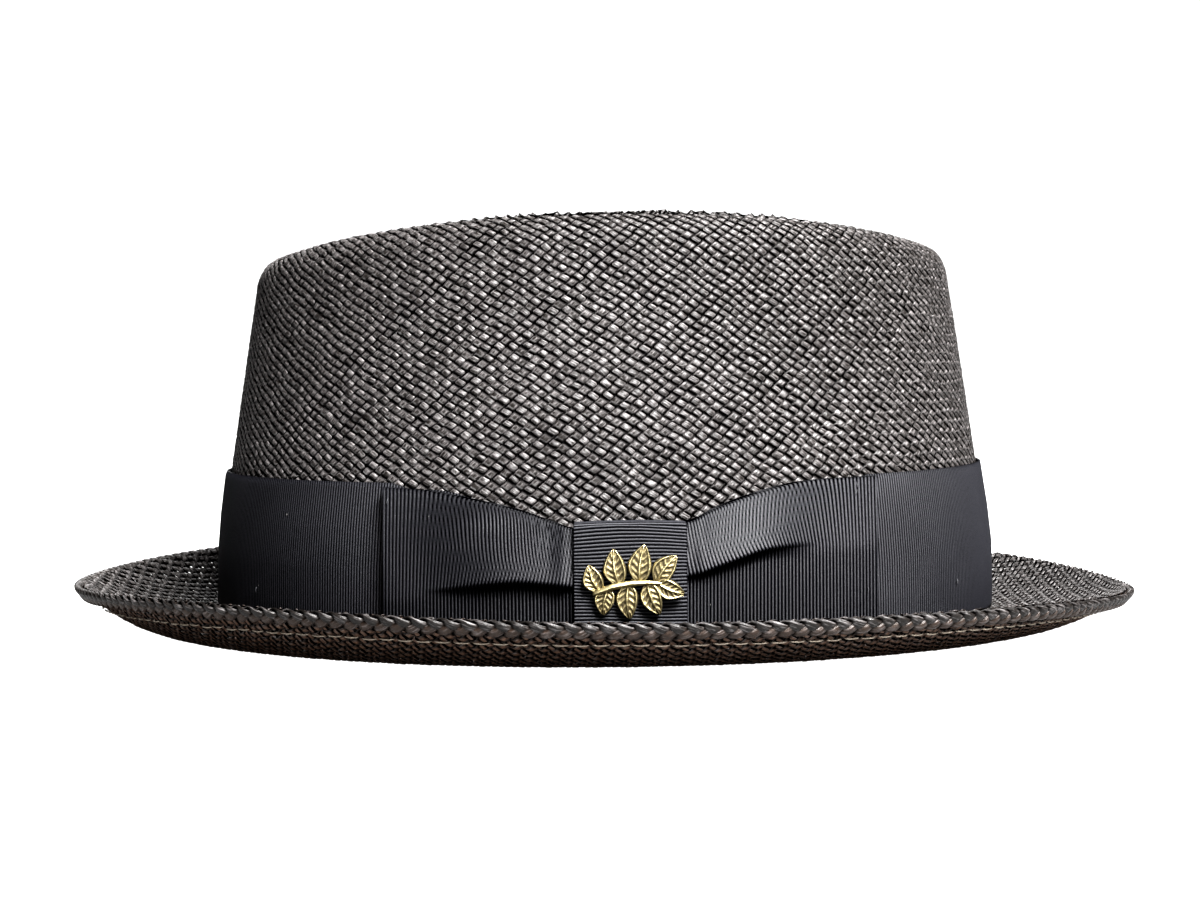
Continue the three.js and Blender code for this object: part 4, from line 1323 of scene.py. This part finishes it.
        path, run = outline(0.0)
        columns = round(run[-1] / sizes.rib_pitch) * RIB_STEPS
        centre, inner = spread(path, run), spread(*outline(RIBBON))
        tangent = np.roll(centre, -1, 0) - np.roll(centre, 1, 0)
        normal = unit(np.stack([tangent[:, 1], -tangent[:, 0]], 1))
        wave = rib_wave(np.arange(columns) / RIB_STEPS)
        rows, value = [], []
        for share in WRAP_STATIONS:
            edge = WRAP_EDGE_RIB if abs(share) == 1 else 1.0
            sag = WRAP_SAG * (1 - share ** 2) * smooth((centre[:, 1] - 0.02) / 0.012)
            waver = WRAP_WAVER * np.sin(2.2 * share + 260 * centre[:, 1])
            swell = sizes.rib_height * (wave - 0.5) * edge
            z = centre[:, 1] + normal[:, 1] * swell + sag + waver * (abs(normal[:, 0]) > 0.9)
            rows.append(side_point(wrap_x(share), z, centre[:, 0] + normal[:, 0] * swell))
            # The rib value paints shade between the ribs
            value.append(wave * edge)
        for share in WRAP_BACK_STATIONS:
            rows.append(side_point(wrap_x(share), inner[:, 1], inner[:, 0]))
            value.append(wave * BACK_RIB)
        points = np.concatenate(rows)
        along = 16 * np.array([*WRAP_STATIONS, *WRAP_BACK_STATIONS])
        make_piece("bow_centre_wrap", points, outwards(points, ring_faces(len(rows), columns, True)),
                   "ribbon", ribbon, ("bow_wrap",),
                   pairs(along, np.arange(columns) / RIB_STEPS)[:, ::-1], rib=np.stack(value))


class HAT_OT_sprig_pin(bpy.types.Operator):
    """Cast the small brass pin of a leafy sprig"""

    bl_idname = "hat.sprig_pin"
    bl_label = "Sprig pin"

    def execute(self, context):
        colours = context.scene.hat_colours
        heights = (-PIN_HALF_HEIGHT, 0.0, PIN_HALF_HEIGHT)
        back = min(float(side_point(BOW_X, PIN_Z + d, WRAP_FRONT)[1]) for d in heights) - PIN_STAND_OFF
        points, faces, relief = [], [], []
        parts = [self.leaf(*leaf) for leaf in LEAVES] + [self.stem(), self.post()]
        count = 0
        for shape, quads, value in parts:
            placed = np.stack([PIN_X + shape[:, 0], back - shape[:, 2], PIN_Z + shape[:, 1]], 1)
            points.append(placed)
            faces.append(outwards(placed, quads) + count)
            relief.append(value)
            count += len(placed)
        make_piece("sprig_pin_cast", np.concatenate(points), np.concatenate(faces), "brass",
                   brass_material("antique_brass", colours), ("sprig_pin",), relief=np.concatenate(relief))
        return {"FINISHED"}

    def leaf(self, x, turn, length, width):
        """An almond with a raised rim, midrib and slanting side veins over a sunken blade."""
        along = np.linspace(0, 1, 30)[:, None]
        across = np.concatenate([np.linspace(-1, 1, 21), np.linspace(1, -1, 5)[1:-1]])[None, :]
        top = np.arange(24)[None, :] < 21
        half = 0.5 * width * np.sin(math.pi * along ** 0.8) ** 0.8 + 0.02
        size = np.abs(across)
        rim = np.exp(-((size - LEAF_RIM) / LEAF_RIM_WIDTH) ** 2)
        rib = np.exp(-(across * (0.6 + along)) ** 2 / 0.012)
        vein = 0.5 + 0.5 * np.cos(TURN * (5.5 * along - 1.6 * size))
        vein = vein ** 3 * (size < 0.8) * (0.15 < size)
        ends = np.sin(math.pi * along) ** 0.35
        raised = np.clip(np.maximum(np.maximum(rim, rib), 0.55 * vein), 0, 1)
        bevel = np.sqrt(np.clip(1 - np.clip((size - LEAF_RIM) / (1 - LEAF_RIM), 0, 1) ** 2, 0, 1))
        face = (LEAF_PLATE + LEAF_RELIEF * raised) * bevel * (0.35 + 0.65 * ends)
        height = np.where(top, np.maximum(face, LEAF_EDGE), 0.0)
        a = math.radians(turn)
        bend = 0.5 * np.sin(math.pi * along) * (1 if math.sin(a) > 0 else -1)
        lx = length * along + 0 * across
        ly = half * across + bend
        base = np.interp(x, *np.array(STEM).T)
        shape = np.stack([x + lx * math.cos(a) - ly * math.sin(a),
                          base + lx * math.sin(a) + ly * math.cos(a), height], -1) * 0.001
        value = np.where(top, 0.12 + 0.88 * raised * bevel, 0.1)
        return shape.reshape(-1, 3), capped(*shape.shape[:2]), value.ravel()

    def stem(self):
        """A round-backed stem tapering towards its last leaf."""
        at = np.linspace(0, 1, 40)
        x, y = (np.interp(at, np.linspace(0, 1, 5), row)[:, None] for row in np.array(STEM).T)
        angle = np.arange(12) * TURN / 12
        at = at[:, None]
        thick = 0.95 * (1.05 - 0.5 * at) * np.sin(math.pi * np.clip(at * 0.96 + 0.03, 0, 1)) ** 0.25
        ly = y + thick * np.cos(angle)
        lz = np.maximum(1.0 + thick * np.sin(angle), 0.0)
        shape = np.stack([x + 0 * ly, ly, lz], -1) * 0.001
        value = np.clip(0.25 + 0.8 * np.sin(angle), 0, 1) + 0 * at
        return shape.reshape(-1, 3), capped(40, 12), value.ravel()

    def post(self):
        """The plain round post behind the pin."""
        angle = np.arange(16) * TURN / 16
        depth = np.array([0.5, -0.9, -1.9, -2.8])[:, None] + 0 * angle
        size = np.array([1.0, 1.0, 1.0, 0.7])[:, None]
        shape = np.stack([size * np.cos(angle), size * np.sin(angle), depth], -1) * 0.001
        return shape.reshape(-1, 3), capped(4, 16), np.full(64, 0.4)


class HAT_OT_stage(bpy.types.Operator):
    """Set the pale floor, the soft studio light and the camera"""

    bl_idname = "hat.stage"
    bl_label = "Stage"

    def execute(self, context):
        scene = context.scene
        self.floor(scene)
        self.lights(scene)
        camera_data = bpy.data.cameras.new("camera")
        camera_data.sensor_width = SENSOR
        camera_data.lens = SENSOR * FOCAL_SHARE
        camera = bpy.data.objects.new("camera", camera_data)
        scene.collection.objects.link(camera)
        camera.matrix_world = (Matrix.Translation(CAMERA_PLACE)
                               @ Matrix.Rotation(math.pi / 2 - CAMERA_DIP, 4, "X")
                               @ Matrix.Rotation(CAMERA_ROLL, 4, "Z"))
        scene.camera = camera
        scene.view_settings.view_transform = "Standard"
        scene.view_settings.look = "High Contrast"
        return {"FINISHED"}

    def floor(self, scene):
        """A floor that sweeps up behind in a wide curve, nearly white."""
        angle = np.radians(np.linspace(0, 90, 24))
        near = np.linspace(-4.0, 3.0, 12)
        y = np.concatenate([near, 3.0 + 2.0 * np.sin(angle[1:]), [5.0]])[:, None]
        z = np.concatenate([0 * near, 2.0 - 2.0 * np.cos(angle[1:]), [6.0]])[:, None] - FLOOR_DROP
        points = np.stack(np.broadcast_arrays(np.linspace(-8, 8, 5), y, z), -1)
        rows, columns = points.shape[:2]
        faces = ring_faces(rows, columns, False).reshape(rows - 1, columns, 4)[:, :-1]
        mesh = bpy.data.meshes.new("floor")
        mesh.from_pydata(points.reshape(-1, 3).tolist(), [], faces.reshape(-1, 4).tolist())
        mesh.polygons.foreach_set("use_smooth", np.ones(len(mesh.polygons), bool))
        material, tree, shader = new_material("pale_floor", 0.9, specular=0.1)
        feed(tree, shader, Base_Color=(FLOOR_BASE, FLOOR_BASE, FLOOR_BASE, 1))
        seen = add_node(tree, "LightPath").outputs["Is Camera Ray"]
        glow = add_node(tree, "Emission", Strength=math_node(tree, "MULTIPLY", seen, FLOOR_GLOW))
        both = add_node(tree, "AddShader")
        tree.links.new(shader.outputs[0], both.inputs[0])
        tree.links.new(glow.outputs[0], both.inputs[1])
        feed(tree, tree.nodes["Material Output"], Surface=both.outputs[0])
        mesh.materials.append(material)
        floor = bpy.data.objects.new("floor", mesh)
        scene.collection.objects.link(floor)

    def lights(self, scene):
        """A soft light high on the camera's right, a weak one behind and a weak low one in front."""
        for name, place, size, energy in LIGHTS:
            data = bpy.data.lights.new(name, "AREA")
            data.shape = "SQUARE"
            data.size = size
            data.energy = energy
            light = bpy.data.objects.new(name, data)
            scene.collection.objects.link(light)
            light.location = place
            aim = Vector(LIGHTS_AIM) - Vector(place)
            light.rotation_euler = aim.to_track_quat("-Z", "Y").to_euler()
        scene.world = bpy.data.worlds.new("sky")
        scene.world.use_nodes = True
        tree = scene.world.node_tree
        seen = slope(tree, add_node(tree, "LightPath").outputs["Is Camera Ray"], 1.0, SKY_LIGHT)
        feed(tree, tree.nodes["Background"], Color=(1, 1, 1, 1), Strength=seen)


class HAT_PT_panel(bpy.types.Panel):
    """Sizes, colours and pieces of the hat"""

    bl_label = "Porkpie Straw Hat"
    bl_idname = "HAT_PT_panel"
    bl_space_type = "VIEW_3D"
    bl_region_type = "UI"
    bl_category = "Hat"

    def draw(self, context):
        layout = self.layout
        for group in (context.scene.hat_sizes, context.scene.hat_colours):
            box = layout.box()
            for key in group.bl_rna.properties.keys():
                if key not in ("rna_type", "name"):
                    box.prop(group, key)
        for operator in OPERATORS:
            layout.operator(operator.bl_idname)


OPERATORS = (
    HAT_OT_crown_weave, HAT_OT_tip_weave, HAT_OT_brim_weave, HAT_OT_edge_plait, HAT_OT_ribbon_band,
    HAT_OT_bow, HAT_OT_sprig_pin, HAT_OT_stage,
)
CLASSES = (HatSizes, HatColours, *OPERATORS, HAT_PT_panel)


def register():
    """Add the classes and their settings to Blender."""
    for cls in CLASSES:
        bpy.utils.register_class(cls)
    bpy.types.Scene.hat_sizes = bpy.props.PointerProperty(type=HatSizes)
    bpy.types.Scene.hat_colours = bpy.props.PointerProperty(type=HatColours)


def unregister():
    """Take the settings and classes away again."""
    del bpy.types.Scene.hat_colours
    del bpy.types.Scene.hat_sizes
    for cls in reversed(CLASSES):
        bpy.utils.unregister_class(cls)


def main():
    """Build every piece and the stage."""
    register()
    bpy.ops.hat.crown_weave()
    bpy.ops.hat.tip_weave()
    bpy.ops.hat.brim_weave()
    bpy.ops.hat.edge_plait()
    bpy.ops.hat.ribbon_band()
    bpy.ops.hat.bow()
    bpy.ops.hat.sprig_pin()
    bpy.ops.hat.stage()


if __name__ == "__main__":
    main()
